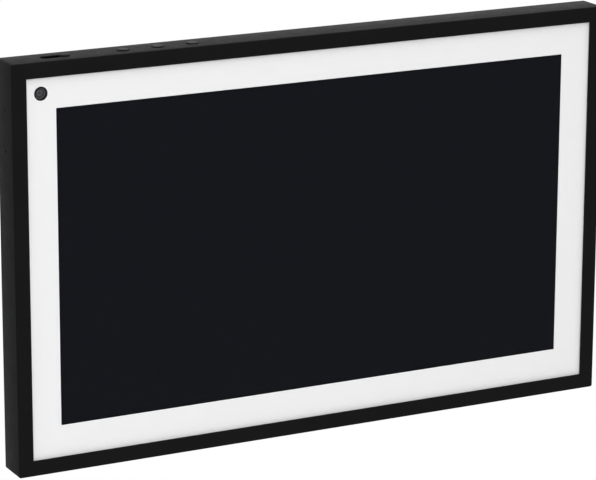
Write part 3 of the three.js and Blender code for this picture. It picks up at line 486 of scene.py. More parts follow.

# %% [markdown]
# ### Clear plastic and lens
#
# The clear plastic is mixed with clear, as the pane is. The camera's lens could be modelled ring by ring, but
# its circles are seen as soft changes of tone, so they are drawn by the distance from its middle. The lens's
# grey and its light and dark circles are a painted reflection, of the bright room and of rings inside a lens.

# %% Clear plastic and lens
camera_window = 7.8 * mm


def clear_plastic():
    acrylic = Finish("clear_plastic", (0.84, 0.88, 0.89), 0.12, 0.5)
    acrylic.shade(acrylic.noise(3 * mm), 0.98, 1.02)
    acrylic.let_through(0.35)


def lens_with_painted_reflection():
    """Dark glass with a painted reflection: a grey base colour, and light and dark circles by the distance
    from its middle.
    """
    # The grey base colour is a painted reflection of the bright room, not the glass's own colour.
    glass = Finish("lens", (0.080, 0.081, 0.085), 0.12, 0.1)
    reach = glass.distance_from((camera_x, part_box("camera_lens")[0].y, camera_z))
    painted_reflection_rings = glass.node("ShaderNodeValToRGB")
    glass.join(glass.math("DIVIDE", reach, camera_window / 2), painted_reflection_rings.inputs["Fac"])
    stops = painted_reflection_rings.color_ramp.elements
    # Light and dark circles in the base colour: painted reflection of rings inside a lens.
    for position, tone in ((0.08, 0.4), (0.34, 1.5), (0.58, 0.4), (0.84, 1.6)):
        stops.new(position).color = glass.tinted(tone)
    stops[0].color = stops[1].color
    stops[-1].color = stops[-2].color
    glass.join(painted_reflection_rings.outputs["Color"], glass.shader.inputs["Base Color"])


clear_plastic()
lens_with_painted_reflection()
print("finishes:", len(finishes))

# %% [markdown]
# ### Every node gets its finish
#
# The frame's record names a finish for each node of the CAD model. The inner parts keep their CAD shapes, so
# this is all that they need. The pieces that show are replaced further down, and take the same finish.

# %% Give every CAD node its finish
slot_of = {piece["node"]: piece["material_slot"] for piece in frame["record"]["subparts"]}
for node_name, slot_name in slot_of.items():
    node = frame["nodes"][node_name]
    if not node.material_slots:
        node.data.materials.append(finishes[slot_name])
    for holder in node.material_slots:
        holder.material = finishes[slot_name]
print("nodes with a finish:", len(slot_of))

# %% [markdown]
# ## How the pieces are made
#
# Each piece starts as a primitive at its size and place. Before that everything is deselected, because an
# operator acts on all that is selected. Faces and edges are then picked in code, by where they lie, and
# shaped. A piece's place goes into its mesh, so its object sits at the origin, as a CAD node's does. Most
# round shapes have 32, 48 or 64 sides, the more the larger they are or the better they are seen.

# %% Start, settle and pick
same_place = 1e-6
coarse_round, fine_round, finest_round = 32, 48, 64


def start(*pieces):
    """Leave edit mode, deselect everything, and select only these pieces."""
    if bpy.context.object and bpy.context.object.mode != "OBJECT":
        bpy.ops.object.mode_set(mode="OBJECT")
    bpy.ops.object.select_all(action="DESELECT")
    for piece in pieces:
        piece.select_set(True)
    if pieces:
        bpy.context.view_layer.objects.active = pieces[0]


def settle(piece):
    """Put the piece's place and size in its mesh, so its object sits at the origin."""
    start(piece)
    bpy.ops.object.transform_apply(location=True, rotation=True, scale=True)


def close_shape():
    """Merge the points that touch, turn all faces outwards and leave edit mode."""
    bpy.ops.mesh.select_all(action="SELECT")
    bpy.ops.mesh.remove_doubles(threshold=same_place)
    bpy.ops.mesh.normals_make_consistent(inside=False)
    bpy.ops.object.mode_set(mode="OBJECT")


def pick(piece, kind, test):
    """In edit mode, select the points, edges or faces that pass a test, and nothing else."""
    bpy.ops.mesh.select_mode(type=kind)
    bpy.ops.mesh.select_all(action="DESELECT")
    shape = bmesh.from_edit_mesh(piece.data)
    for item in {"VERT": shape.verts, "EDGE": shape.edges, "FACE": shape.faces}[kind]:
        if test(item):
            item.select_set(True)
    shape.select_flush_mode()
    bmesh.update_edit_mesh(piece.data)


def middle_of(edge):
    return (edge.verts[0].co + edge.verts[1].co) / 2


def runs_along(edge, axis):
    span = edge.verts[0].co - edge.verts[1].co
    return abs(span[axis]) > 0.99 * span.length


# %% [markdown]
# ### A section led round a rectangle
#
# A frame or a mat has the same section all the way round. It could be cut out of blocks, but it is simpler to
# lead the section round the window, as a joiner does with a strip of moulding. A rectangle at the section's
# first point is extruded to the level of the next point and scaled to its distance, point after point, until
# the last ring of edges meets the first. An arc of points makes a rounded edge in a section.

# %% Arc and moulding
def arc(radius, start_angle, end_angle, centre, steps):
    """Points along an arc of a profile, for a rounded edge."""
    turn = [start_angle + (end_angle - start_angle) * step / steps for step in range(steps + 1)]
    return [(centre[0] + radius * cos(angle), centre[1] + radius * sin(angle)) for angle in turn]


def moulding(name, half_width, half_height, profile):
    """Lead a closed profile round a rectangle. Its points are distances outwards and places along Y."""
    start()
    outward, level = profile[0]
    bpy.ops.mesh.primitive_plane_add(size=2, rotation=(pi / 2, 0, 0), location=(0, level, 0))
    piece = bpy.context.object
    piece.scale = (half_width + outward, half_height + outward, 1)
    piece.name = piece.data.name = name
    settle(piece)
    bpy.ops.object.mode_set(mode="EDIT")
    bpy.ops.mesh.delete(type="ONLY_FACE")
    bpy.ops.mesh.select_all(action="SELECT")
    for next_outward, next_level in profile[1:] + profile[:1]:
        bpy.ops.mesh.extrude_edges_move(TRANSFORM_OT_translate={"value": (0, next_level - level, 0)})
        bpy.ops.transform.resize(center_override=(0, next_level, 0), value=(
            (half_width + next_outward) / (half_width + outward), 1,
            (half_height + next_outward) / (half_height + outward)))
        outward, level = next_outward, next_level
    close_shape()
    return piece


# %% [markdown]
# ## The front frame
#
# The real frame is one moulding: a flat border, side walls, a thin lip in front of the pane, a seat for the
# pane, a rail and a ledge behind it. Its section is led round the window. Its four outer corners and its
# outer edge are then beveled.

# %% Front frame
border = 9.5 * mm
lip_thickness = 1.1 * mm
seat_width = 3.5 * mm
rail_depth = 3.5 * mm
ledge_depth = 7.6 * mm
ledge_width = 2.6 * mm
wall = 2.4 * mm
corner_radius = 1.4 * mm
edge_radius = 0.6 * mm
lip_edge = 0.35 * mm
front_level, back_level = frame_low.y, frame_high.y
half_width = frame_high.x
half_height = 126 * mm
open_width = half_width - border
open_height = half_height - border


def frame_profile():
    wall_inside = border - wall
    ledge_inside = wall_inside - ledge_width
    points = arc(lip_edge, pi, 3 * pi / 2, (lip_edge, front_level + lip_edge), 3)
    points += [(border, front_level), (border, back_level), (wall_inside, back_level),
               (wall_inside, front_level + ledge_depth), (ledge_inside, front_level + ledge_depth),
               (ledge_inside, front_level + rail_depth), (seat_width, front_level + rail_depth),
               (seat_width, front_level + lip_thickness), (0, front_level + lip_thickness)]
    return points


def is_outer_corner(edge):
    """True for an edge that runs from front to back at one of the four outer corners."""
    middle = middle_of(edge)
    beside = abs(abs(middle.x) - half_width) < 10 * same_place
    level = abs(abs(middle.z) - half_height) < 10 * same_place
    return runs_along(edge, 1) and beside and level


def is_outer_rim(edge, level):
    """True for an edge at this level between an outer side wall and a face across it."""
    middle = middle_of(edge)
    at_level = all(abs(end.co.y - level) < same_place for end in edge.verts)
    outside = abs(middle.x) > half_width - corner_radius or abs(middle.z) > half_height - corner_radius
    tilts = sorted(abs(face.normal.y) for face in edge.link_faces)
    wall_meets_face = tilts[0] < 0.1 and tilts[-1] > 0.9
    return at_level and outside and wall_meets_face


def frame_body():
    piece = moulding("front_frame_piece", open_width, open_height, frame_profile())
    bpy.ops.object.mode_set(mode="EDIT")
    pick(piece, "EDGE", is_outer_corner)
    bpy.ops.mesh.bevel(offset=corner_radius, segments=6, affect="EDGES")
    for level, radius in ((front_level, edge_radius), (back_level, edge_radius / 2)):
        pick(piece, "EDGE", lambda item: is_outer_rim(item, level))
        bpy.ops.mesh.bevel(offset=radius, segments=4, affect="EDGES")
    bpy.ops.object.mode_set(mode="OBJECT")
    return piece


front_frame = frame_body()
print("frame ring:", [round(size / mm, 2) for size in front_frame.dimensions], "mm")

# %% [markdown]
# ### Cutters
#
# A hole is cut with a Boolean modifier, which takes one solid away from another, and the same modifier welds
# solids together. A block cuts what is square. Most other holes are round or round-ended, so a punch does for
# them: a circle, with its halves moved apart for a long hole, extruded through a few levels. At each level
# the outline may grow or shrink a little.

# %% Block, punch and cut
def block(name, low, high):
    """A box between two corners, given in metres."""
    start()
    low, high = Vector(low), Vector(high)
    bpy.ops.mesh.primitive_cube_add(size=1, location=(low + high) / 2, scale=high - low)
    piece = bpy.context.object
    piece.name = piece.data.name = name
    settle(piece)
    return piece


def punch(name, length, width, stations, place, axis="Y", upright=False, sides=coarse_round):
    """A solid with a round-ended outline, drawn along an axis through stations of (level, growth)."""
    start()
    bpy.ops.mesh.primitive_circle_add(vertices=sides, radius=width / 2, fill_type="NGON")
    piece = bpy.context.object
    piece.name = piece.data.name = name
    bpy.ops.object.mode_set(mode="EDIT")
    shift = (length - width) / 2
    if shift > 0:
        for side in (-1, 1):
            pick(piece, "VERT", lambda item: item.co.x * side > same_place)
            bpy.ops.transform.translate(value=(side * shift, 0, 0))
    bpy.ops.mesh.select_all(action="SELECT")
    level, growth = stations[0]
    bpy.ops.transform.translate(value=(0, 0, level))
    if growth:
        bpy.ops.transform.resize(center_override=(0, 0, level), value=(
            (length + 2 * growth) / length, (width + 2 * growth) / width, 1))
    for next_level, next_growth in stations[1:]:
        bpy.ops.mesh.extrude_region_move(TRANSFORM_OT_translate={"value": (0, 0, next_level - level)})
        bpy.ops.transform.resize(center_override=(0, 0, next_level), value=(
            (length + 2 * next_growth) / (length + 2 * growth),
            (width + 2 * next_growth) / (width + 2 * growth), 1))
        level, growth = next_level, next_growth
    close_shape()
    turn = {"X": Matrix.Rotation(pi / 2, 4, "Y"), "Y": Matrix.Rotation(-pi / 2, 4, "X"), "Z": Matrix()}[axis]
    piece.matrix_world = (Matrix.Translation(place) @ turn
                          @ Matrix.Rotation(pi / 2 if upright else 0, 4, "Z"))
    settle(piece)
    return piece


def gather(name, pieces):
    """Join several meshes into one object."""
    start(*pieces)
    bpy.ops.object.join()
    pieces[0].name = pieces[0].data.name = name
    return pieces[0]


def combine(piece, tools, operation="DIFFERENCE"):
    """Cut tools out of the piece, or weld them to it, and clear them away. The tools stand apart."""
    tool = gather("tool", tools) if len(tools) > 1 else tools[0]
    start(piece)
    modifier = piece.modifiers.new("combine", "BOOLEAN")
    modifier.operation = operation
    modifier.solver = "EXACT"
    modifier.object = tool
    bpy.ops.object.modifier_apply(modifier=modifier.name)
    bpy.data.objects.remove(tool)


# %% [markdown]
# ### What is cut in the frame
#
# The top wall has the shutter's slot and three round holes, and the left wall two pinholes for microphones.
# Each cutter has the shape of the hole, with a mouth that flares a little at the surface. That leaves the
# small broken edge that a moulded hole has, and it catches the light. The wall round the slot is thinned
# from inside, so the slot looks into the dark. A block opens the ledge below the controls and gives them
# room. Every cutter reaches a little past the faces that it opens.

# %% Holes and ledge gap
run_gap = 0.35 * mm
overcut = 0.1 * mm
control_y = front_level + 11 * mm
slot_length, slot_width = 18.5 * mm, 6.5 * mm
slot_x = -half_width + 22.8 * mm + slot_length / 2
button_x = [-half_width + (75.3 + 22.5 * index) * mm for index in range(3)]
button_diameter = 7 * mm
pinhole = 1.2 * mm
microphone_z = [half_height - 28.9 * mm, half_height - 53.5 * mm]
mouth = 0.2 * mm
slot_lip = 0.5 * mm
slot_undercut = 2 * mm
wall_inside_z = half_height - wall
ledge_gap_end = button_x[-1] + 15.75 * mm
ledge_back = front_level + ledge_depth


def mouth_stations(surface, inward, outward=1):
    """Levels for a cutter whose hole flares at the surface. Outward is the side on which the mouth opens."""
    return [(surface - outward * inward, 0), (surface - outward * mouth, 0),
            (surface + outward * mouth, 2 * mouth)]


def cut_controls():
    slot_place = (slot_x, control_y, 0)
    hole = button_diameter + 2 * run_gap
    top = mouth_stations(half_height, 2 * wall)
    side = mouth_stations(-half_width, 2 * wall, -1)
    cutters = [punch("slot_cutter", slot_length, slot_width, top, slot_place, "Z", sides=fine_round)]
    cutters += [punch("button_cutter", hole, hole, top, (x, control_y, 0), "Z", sides=fine_round)
                for x in button_x]
    cutters += [punch("pinhole_cutter", pinhole, pinhole, side, (0, control_y, z), "X", sides=24)
                for z in microphone_z]
    combine(front_frame, cutters)
    undercut = [(half_height - 2 * wall, slot_undercut), (half_height - slot_lip, slot_undercut)]
    combine(front_frame, [punch("slot_undercut", slot_length, slot_width, undercut, slot_place, "Z",
                                sides=fine_round)])
    gap_low = (-half_width + wall, front_level + rail_depth, wall_inside_z - ledge_width - overcut)
    gap_high = (ledge_gap_end, ledge_back + overcut, wall_inside_z)
    combine(front_frame, [block("ledge_gap", gap_low, gap_high)])


cut_controls()
print("faces with the holes cut:", len(front_frame.data.polygons))

# %% [markdown]
# ### Screw bosses
#
# Six round bosses beside the ledge take the screws that hold the rear cover. They are welded to the frame
# first, and then a hole for the screw is cut in each.

# %% Screw bosses
fit_gap = 0.3 * mm
screw_x, screw_z = half_width - 7.7 * mm, half_height - 7.7 * mm
cover_screw_places = [(-screw_x, 50 * mm), (-screw_x, -50 * mm), (screw_x, 50 * mm), (screw_x, -50 * mm),
                      (0, screw_z), (0, -screw_z)]
boss_diameter, pilot_diameter = 7 * mm, 3.1 * mm
boss_front = front_level + 3.1 * mm
screw_tip = front_level + 4.5 * mm


def round_punches(name, diameter, stations, places, sides=coarse_round):
    """A round punch along Y at each of these places, which are pairs of x and z."""
    return [punch(name, diameter, diameter, stations, (x, 0, z), sides=sides) for x, z in places]


def add_bosses():
    bosses = round_punches("boss", boss_diameter, [(boss_front, 0), (ledge_back, 0)], cover_screw_places)
    combine(front_frame, bosses, "UNION")
    depth = [(screw_tip - fit_gap, 0), (ledge_back + 0.5 * mm, 0)]
    combine(front_frame, round_punches("pilot", pilot_diameter, depth, cover_screw_places))


add_bosses()
print("bosses for screws:", len(cover_screw_places))

# %% [markdown]
# ### The frame takes its node's place
#
# A finished piece is shaded as round where it turns by a small angle, so that a rounding looks smooth and an
# edge stays sharp. It then stands for its CAD node: it rides on the same body, replaces the node and has the
# node's finish.

# %% Smooth and hand over
def smooth(piece, angle=35):
    """Shade as round what turns by less than this many degrees."""
    start(piece)
    bpy.ops.object.shade_smooth_by_angle(angle=radians(angle))


def hand_over(piece, node_name, body="housing"):
    """Let the piece stand for a CAD node: same body, same slot, same finish."""
    piece.data.materials.clear()
    piece.data.materials.append(finishes[slot_of[node_name]])
    piece.name = piece.data.name = node_name + "_piece"
    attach(piece, body)
    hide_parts(node_name)
    print(piece.name, "faces:", len(piece.data.polygons))


smooth(front_frame)
hand_over(front_frame, "front_frame")

# %% [markdown]
# ## The mat
#
# The mat is a sheet with the screen's window and a round one for the camera. Its window is cut at a slant,
# as in picture framing, so it is a flat moulding whose inner edge leans.

# %% Mat with its two windows
reach_past = 1 * mm
mat_band = mat_high.x - window_width / 2
mat_slant = 0.25 * mm
slant_back = mat_back - 0.1 * mm
mat = moulding("mat_piece", window_width / 2, window_height / 2, [
    (mat_slant, mat_front), (mat_band, mat_front), (mat_band, mat_back), (0, mat_back), (0, slant_back)])
combine(mat, [punch("window_cutter", camera_window, camera_window, [
    (mat_front - reach_past, mat_slant), (mat_front, mat_slant), (slant_back, 0), (mat_back + reach_past, 0)],
    (camera_x, 0, camera_z), sides=finest_round)])
smooth(mat)
hand_over(mat, "mat_border")

# %% [markdown]
# ## The camera
#
# Behind the round window sits a turned barrel with a lens in it. Turned parts are spun from half their
# section, which is drawn here as on a lathe drawing, in distances from the axis and from the front.

# %% Spin a section
side_of = {"Y": Vector((1, 0, 0)), "Z": Vector((1, 0, 0)), "X": Vector((0, 1, 0))}
axis_of = {"X": Vector((1, 0, 0)), "Y": Vector((0, 1, 0)), "Z": Vector((0, 0, 1))}


def turned(name, profile, base, axis="Y", steps=finest_round):
    """Spin a profile of (radius, height) round an axis through base. Heights run along the axis."""
    start()
    base = Vector(base)
    points = [base + side_of[axis] * radius + axis_of[axis] * height for radius, height in profile]
    bpy.ops.mesh.primitive_plane_add(size=1 * mm, location=points[0])
    piece = bpy.context.object
    piece.name = piece.data.name = name
    settle(piece)
    bpy.ops.object.mode_set(mode="EDIT")
    bpy.ops.mesh.select_mode(type="VERT")
    bpy.ops.mesh.select_all(action="SELECT")
    bpy.ops.mesh.merge(type="CENTER")
    for here, there in zip(points, points[1:]):
        bpy.ops.mesh.extrude_vertices_move(TRANSFORM_OT_translate={"value": there - here})
    bpy.ops.mesh.select_all(action="SELECT")
    bpy.ops.mesh.spin(steps=steps, angle=2 * pi, center=base, axis=axis_of[axis])
    close_shape()
    return piece


# %% Camera barrel
barrel_low, barrel_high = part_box("camera_barrel")
lens_low, lens_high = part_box("camera_lens")
barrel_radius = (barrel_high.x - barrel_low.x) / 2
lens_radius = (lens_high.x - lens_low.x) / 2
barrel_length = barrel_high.y - barrel_low.y
barrel_round = 0.35 * mm
bore = lens_radius + fit_gap
lens_seat = lens_high.y + 0.15 * mm - barrel_low.y
barrel = turned("barrel_piece", [
    (0, barrel_length), (barrel_radius, barrel_length), (barrel_radius, 0.4 * mm),
    *arc(barrel_round, 0, -pi / 2, (barrel_radius - barrel_round, barrel_round), 4),
    (bore + 0.15 * mm, 0), (bore, 0.25 * mm), (bore, lens_seat), (0, lens_seat)],
    (camera_x, barrel_low.y, camera_z))
smooth(barrel)
hand_over(barrel, "camera_barrel")


# %% Camera lens
def lens_profile():
    """A nearly flat glass with a turned edge and two shallow grooves, which hardly show from a step away."""
    thickness = lens_high.y - lens_low.y
    groove, depth = 0.16 * mm, 0.14 * mm
    profile = [(0, thickness), (lens_radius, thickness), (lens_radius, 0.3 * mm),
               (lens_radius - 0.2 * mm, 0.08 * mm)]
    for ring in (0.7 * lens_radius, 0.36 * lens_radius):
        profile += [(ring + groove, 0.05 * mm), (ring + groove * 0.6, depth), (ring - groove * 0.6, depth),
                    (ring - groove, 0.04 * mm)]
    return profile + [(0, 0)]


lens = turned("lens_piece", lens_profile(), (camera_x, lens_low.y, camera_z))
smooth(lens, 50)
hand_over(lens, "camera_lens")

# %% [markdown]
# ### The printed ring
#
# A pane over a camera often has a ring of ink on its back, which hides the edge of the hole behind it. It has
# no solid in the CAD model. It could be a pattern in the pane's finish, but as a thin ring of its own it
# stays a shape, and gets a black finish without a change to the glass.

# %% Ring printed on the back of the pane
pane_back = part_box("cover_glass")[1].y
ink_gap = 0.03 * mm
printed_ring_inside = 6.9 * mm


def print_ring():
    """A thin ring of black ink. It overlaps the window's edge, so the camera shows as a clean round."""
    inside, outside = printed_ring_inside / 2, printed_ring / 2
    thickness = mat_front - pane_back - 2 * ink_gap
    section = [(inside, 0), (outside, 0), (outside, thickness), (inside, thickness), (inside, 0)]
    ring = turned("ring_piece", section, (camera_x, pane_back + ink_gap, camera_z))
    ring.data.materials.append(finishes["frame_black"])
    ring.name = ring.data.name = "camera_ring_piece"
    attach(ring, "housing")
    print(ring.name, "faces:", len(ring.data.polygons))


print_ring()

# %% [markdown]
# ## Shutter slider
#
# One moulding: a knob in the slot, a carriage that keeps the slot closed, and an arm that holds a thin blade
# beside the camera. The blocks are welded into one body. Two more helpers round some of them: a slab has
# round corners and a rounded rim on one side, and a softened block is rounded on every edge.

# %% Slab and softened block
def slab(name, half_width, half_height, back, front, corner, edge, steps=8, centre=(0, 0), round_front=True):
    """A flat block seen from the front, with round corners and a rounded edge on its front or its back."""
    x, z = centre
    piece = block(name, (x - half_width, front, z - half_height), (x + half_width, back, z + half_height))
    bpy.ops.object.mode_set(mode="EDIT")
    if corner:
        pick(piece, "EDGE", lambda item: runs_along(item, 1))
        bpy.ops.mesh.bevel(offset=corner, segments=steps, affect="EDGES")
    if edge:
        rim = front if round_front else back
        pick(piece, "EDGE", lambda item: all(abs(end.co.y - rim) < same_place for end in item.verts))
        bpy.ops.mesh.bevel(offset=edge, segments=max(3, steps // 2), affect="EDGES")
    bpy.ops.object.mode_set(mode="OBJECT")
    return piece


def soften(piece, offset, segments):
    """Round every edge of a block."""
    bpy.ops.object.mode_set(mode="EDIT")
    bpy.ops.mesh.select_all(action="SELECT")
    bpy.ops.mesh.bevel(offset=offset, segments=segments, affect="EDGES")
    bpy.ops.object.mode_set(mode="OBJECT")


# %% Shutter slider
slider_low, slider_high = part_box("shutter_slider")
shutter_travel = 11.8 * mm
knob_length, knob_width = 6 * mm, slot_width - 2 * run_gap
knob_x = slot_x + slot_length / 2 - run_gap - knob_length / 2
carriage_top = wall_inside_z - fit_gap
carriage_low = carriage_top - 2 * mm
carriage_reach = 4 * mm
blade_x = camera_x + shutter_travel
blade_width, blade_thickness = 12 * mm, 0.6 * mm
blade_corner, blade_edge = 1.5 * mm, 0.15 * mm
link_top = camera_z + barrel_radius + 2.3 * mm
link_low = link_top - 1.7 * mm
arm_left = blade_x - 2 * mm
arm_right = arm_left + 8 * mm
arm_back = control_y - 3.9 * mm
arm_front = arm_back - 1.5 * mm


def make_slider():
    carriage = block("slider_piece", (slider_low.x, control_y - carriage_reach, carriage_low),
                     (slider_high.x, control_y + carriage_reach, carriage_top))
    soften(carriage, 0.2 * mm, 2)
    crown = slider_high.z
    knob = punch("knob", knob_length, knob_width, [
        (carriage_top - fit_gap, 0), (crown - 0.4 * mm, 0), (crown - 0.15 * mm, -0.1 * mm),
        (crown, -0.4 * mm)], (knob_x, control_y, 0), "Z", sides=fine_round)
    arm = block("arm", (arm_left, arm_front, link_low), (arm_right, arm_back, carriage_top))
    link_piece = block("link", (arm_left, slider_low.y, link_low), (arm_right, arm_back, link_top))
    blade = slab("blade", blade_width / 2, (link_top - slider_low.z) / 2, slider_low.y + blade_thickness,
                 slider_low.y, blade_corner, blade_edge, 4, (blade_x, (link_top + slider_low.z) / 2))
    for added in (knob, arm, link_piece, blade):
        combine(carriage, [added], "UNION")
    return carriage


slider = make_slider()
smooth(slider, 30)
hand_over(slider, "shutter_slider", "shutter")

# %% [markdown]
# ## Push buttons
#
# Three round caps stand a little proud of the top edge. Each has a slightly domed crown with a rounded rim,
# a flange that holds it under the wall and a stem for its switch. One is spun, and the others are copies.

# %% Buttons
cap_low, cap_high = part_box("microphone_button")
cap_radius = button_diameter / 2
stem_radius, flange_radius, flange_thickness = 1.6 * mm, 4.5 * mm, 0.8 * mm
flange_top = wall_inside_z - fit_gap
cap_rim, cap_dome = 0.16 * mm, 0.12 * mm


def cap_profile():
    height = cap_high.z - cap_low.z
    flange = flange_top - cap_low.z
    stem = flange - flange_thickness
    rim_centre = (cap_radius - cap_rim, height - cap_dome - cap_rim)
    return [(0, 0), (stem_radius, 0), (stem_radius, stem), (flange_radius, stem), (flange_radius, flange),
            (cap_radius, flange), *arc(cap_rim, 0, pi / 2, rim_centre, 5),
            (cap_radius * 0.6, height - cap_dome * 0.35), (cap_radius * 0.3, height - cap_dome * 0.08),
            (0, height)]


def copied(piece, name, move):
    """A copy with its own mesh, moved by this much."""
    start(piece)
    bpy.ops.object.duplicate()
    copy = bpy.context.object
    copy.name = copy.data.name = name
    copy.location = move
    settle(copy)
    return copy


first_cap = turned("cap", cap_profile(), (button_x[0], control_y, cap_low.z), "Z")
smooth(first_cap)
caps = [first_cap] + [copied(first_cap, "cap", (x - button_x[0], 0, 0)) for x in button_x[1:]]
for cap, key in zip(caps, ("microphone", "volume_down", "volume_up")):
    hand_over(cap, key + "_button", key + "_key")

# %% [markdown]
# ## The back
#
# The photograph doesn't show the back. It is built as such a display has it: a cover with generous
# roundings on a flange, air slots along top and bottom, a group of slots in front of each speaker, a notch
# for the power plug, and a steel plate with two keyholes that hangs on wall screws. The cover is a shell: a
# slab is welded to the flange, and a smaller slab hollows it out.

# %% Cover shell
cover_low, cover_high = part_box("rear_cover")
cover_half_width, cover_half_height = 188 * mm, 113 * mm
cover_corner, cover_edge, cover_wall = 14 * mm, 7 * mm, 2.2 * mm
cover_back = cover_high.y
cover_inside = cover_back - cover_wall
hollow_corner, hollow_edge = cover_corner - cover_wall, cover_edge - 1 * mm
flange_front, flange_back = cover_low.y, cover_low.y + 2 * mm
notch_half, notch_top = 16 * mm, -75 * mm


def cover_shell():
    shell = slab("cover_piece", cover_half_width, cover_half_height, cover_back, flange_front + 0.5 * mm,
                 cover_corner, cover_edge, 16, round_front=False)
    flange = slab("flange", cover_high.x, cover_high.z, flange_back, flange_front, 1 * mm, 0.3 * mm, 3,
                  round_front=False)
    combine(shell, [flange], "UNION")
    combine(shell, [block("notch", (-notch_half, flange_back, -cover_half_height * 1.2),
                          (notch_half, cover_back + reach_past, notch_top))])
    hollow = slab("hollow", cover_half_width - cover_wall, cover_half_height - cover_wall, cover_inside,
                  flange_front - reach_past, hollow_corner, hollow_edge, 10, round_front=False)
    combine(hollow, [block(
        "notch_wall", (-notch_half - cover_wall, flange_front - 2 * reach_past, -cover_half_height),
        (notch_half + cover_wall, cover_back, notch_top + cover_wall))])
    combine(shell, [hollow])
    return shell


cover = cover_shell()
print("cover shell:", [round(size / mm, 2) for size in cover.dimensions], "mm")

# %% [markdown]
# ### Wells and posts
#
# Behind each keyhole the head of a wall screw needs room, so the cover has a well there. The well's own
# walls keep the head away from the boards. Four posts take the screws of the hanger plate.

# %% Wells and posts
keyhole_x = 75 * mm
well_half, well_low, well_high = 7.5 * mm, -15.5 * mm, 13.3 * mm
well_depth, well_corner = 6 * mm, 2 * mm
hanger_screw_places = [(x * 92 * mm, z * 27 * mm) for z in (-1, 1) for x in (-1, 1)]
hanger_boss_front = cover_back - 7.25 * mm


def add_wells(shell):
    """Walls round the keyholes' wells, and a post for each screw of the hanger plate."""
    back = cover_back - overcut
    wells = [block("well",
                   (x - well_half - cover_wall, back - well_depth - cover_wall, well_low - cover_wall),
                   (x + well_half + cover_wall, back, well_high + cover_wall))
             for x in (-keyhole_x, keyhole_x)]
    posts = round_punches("post", boss_diameter, [(hanger_boss_front, 0), (cover_inside + overcut, 0)],
                          hanger_screw_places)
    combine(shell, wells + posts, "UNION")


add_wells(cover)
print("posts for the plate's screws:", len(hanger_screw_places))

# %% [markdown]
# ### Seats and holes
#
# The wells are hollowed, and posts and flange get the holes for their screws. The pads lie in shallow round
# seats, and the cover screws' heads in seats in the flange. Above the notch a round hole lets the plug
# through to its socket.

# %% Seats and holes
hanger_pilot_front = hanger_boss_front + 1.1 * mm
screw_seat_diameter, screw_seat_front = 5.6 * mm, flange_back - 1.35 * mm
pad_places = [(x * 162 * mm, z * 87 * mm) for z in (-1, 1) for x in (-1, 1)]
pad_diameter, pad_seat = 16 * mm, 1 * mm
socket_low, socket_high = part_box("power_socket")
plug_y = (socket_low.y + socket_high.y) / 2
plug_hole = 8.8 * mm


def cut_seats(shell):
    """The wells, the screws' holes, and shallow seats for pads and screw heads."""
    hollows = [slab("well_hollow", well_half, (well_high - well_low) / 2, cover_back + reach_past,
                    cover_back - well_depth, well_corner, 0, 6, (x, (well_high + well_low) / 2))
               for x in (-keyhole_x, keyhole_x)]
    pilots = round_punches("pilot", pilot_diameter, [
        (hanger_pilot_front, 0), (cover_back + reach_past, 0)], hanger_screw_places)
    pad_seats = round_punches("pad_seat", pad_diameter + 2 * fit_gap, mouth_stations(cover_back, pad_seat),
                              pad_places, finest_round)
    screw_seats = round_punches("screw_seat", screw_seat_diameter, [
        (screw_seat_front, 0), (flange_back + reach_past, 0)], cover_screw_places)
    screw_holes = round_punches("screw_hole", pilot_diameter, [
        (flange_front - reach_past, 0), (flange_back - reach_past, 0)], cover_screw_places)
    combine(shell, hollows + pilots + pad_seats + screw_seats + screw_holes)
    combine(shell, [punch("plug_hole", plug_hole, plug_hole, mouth_stations(notch_top, 2 * cover_wall, -1),
                          (0, plug_y, 0), "Z", sides=fine_round)])


cut_seats(cover)
print("seats for pads:", len(pad_places))

# %% [markdown]
# ### Slots in the cover
#
# The slots are one round-ended hole, upright for air and level for sound, repeated at an even pitch. A cutter
# of each kind is made once and copied to its places, and one cut takes them all.

# %% Slots in the cover
vent_length, vent_width, vent_pitch = 16 * mm, 2.2 * mm, 8 * mm
vent_z = cover_half_height - 23 * mm
upper_vents, lower_vents = 22, 6
lower_vent_x = notch_half + 20 * mm
speaker_x = cover_half_width - 36 * mm
speaker_slots, speaker_slot_pitch, speaker_slot_length = 6, 5.6 * mm, 34 * mm


def cut_slots(shell):
    depth = mouth_stations(cover_back, cover_wall + reach_past)
    upright = punch("vent", vent_length, vent_width, depth, (0, 0, 0), upright=True, sides=16)
    level = punch("speaker_slot", speaker_slot_length, vent_width, depth, (0, 0, 0), sides=16)
    moves = [(upright, ((index + 0.5 - upper_vents / 2) * vent_pitch, 0, vent_z))
             for index in range(upper_vents)]
    moves += [(upright, (side * (lower_vent_x + index * vent_pitch), 0, -vent_z))
              for side in (-1, 1) for index in range(lower_vents)]
    moves += [(level, (side * speaker_x, 0, (index + 0.5 - speaker_slots / 2) * speaker_slot_pitch))
              for side in (-1, 1) for index in range(speaker_slots)]
    cutters = [copied(slot_cutter, "slot_cutter", move) for slot_cutter, move in moves]
    bpy.data.objects.remove(upright)
    bpy.data.objects.remove(level)
    combine(shell, cutters)
    print("slots cut in the cover:", len(moves))


cut_slots(cover)
smooth(cover, 30)
hand_over(cover, "rear_cover")

# %% [markdown]
# ### Hanger plate
#
# The plate is pressed from zinc plated steel. A keyhole is a round hole for the screw's head with a narrow
# slot above it, so two cutters are welded into one. The screws' holes are countersunk.

# %% Hanger plate
plate_low, plate_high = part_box("hanger_plate")
plate_corner, plate_edge = 6 * mm, 0.25 * mm
keyhole_low, keyhole_rise = -6 * mm, 12 * mm
keyhole_head, keyhole_shank = 9 * mm, 4.6 * mm
sink_diameter, sink_growth = 2.9 * mm, 1.75 * mm


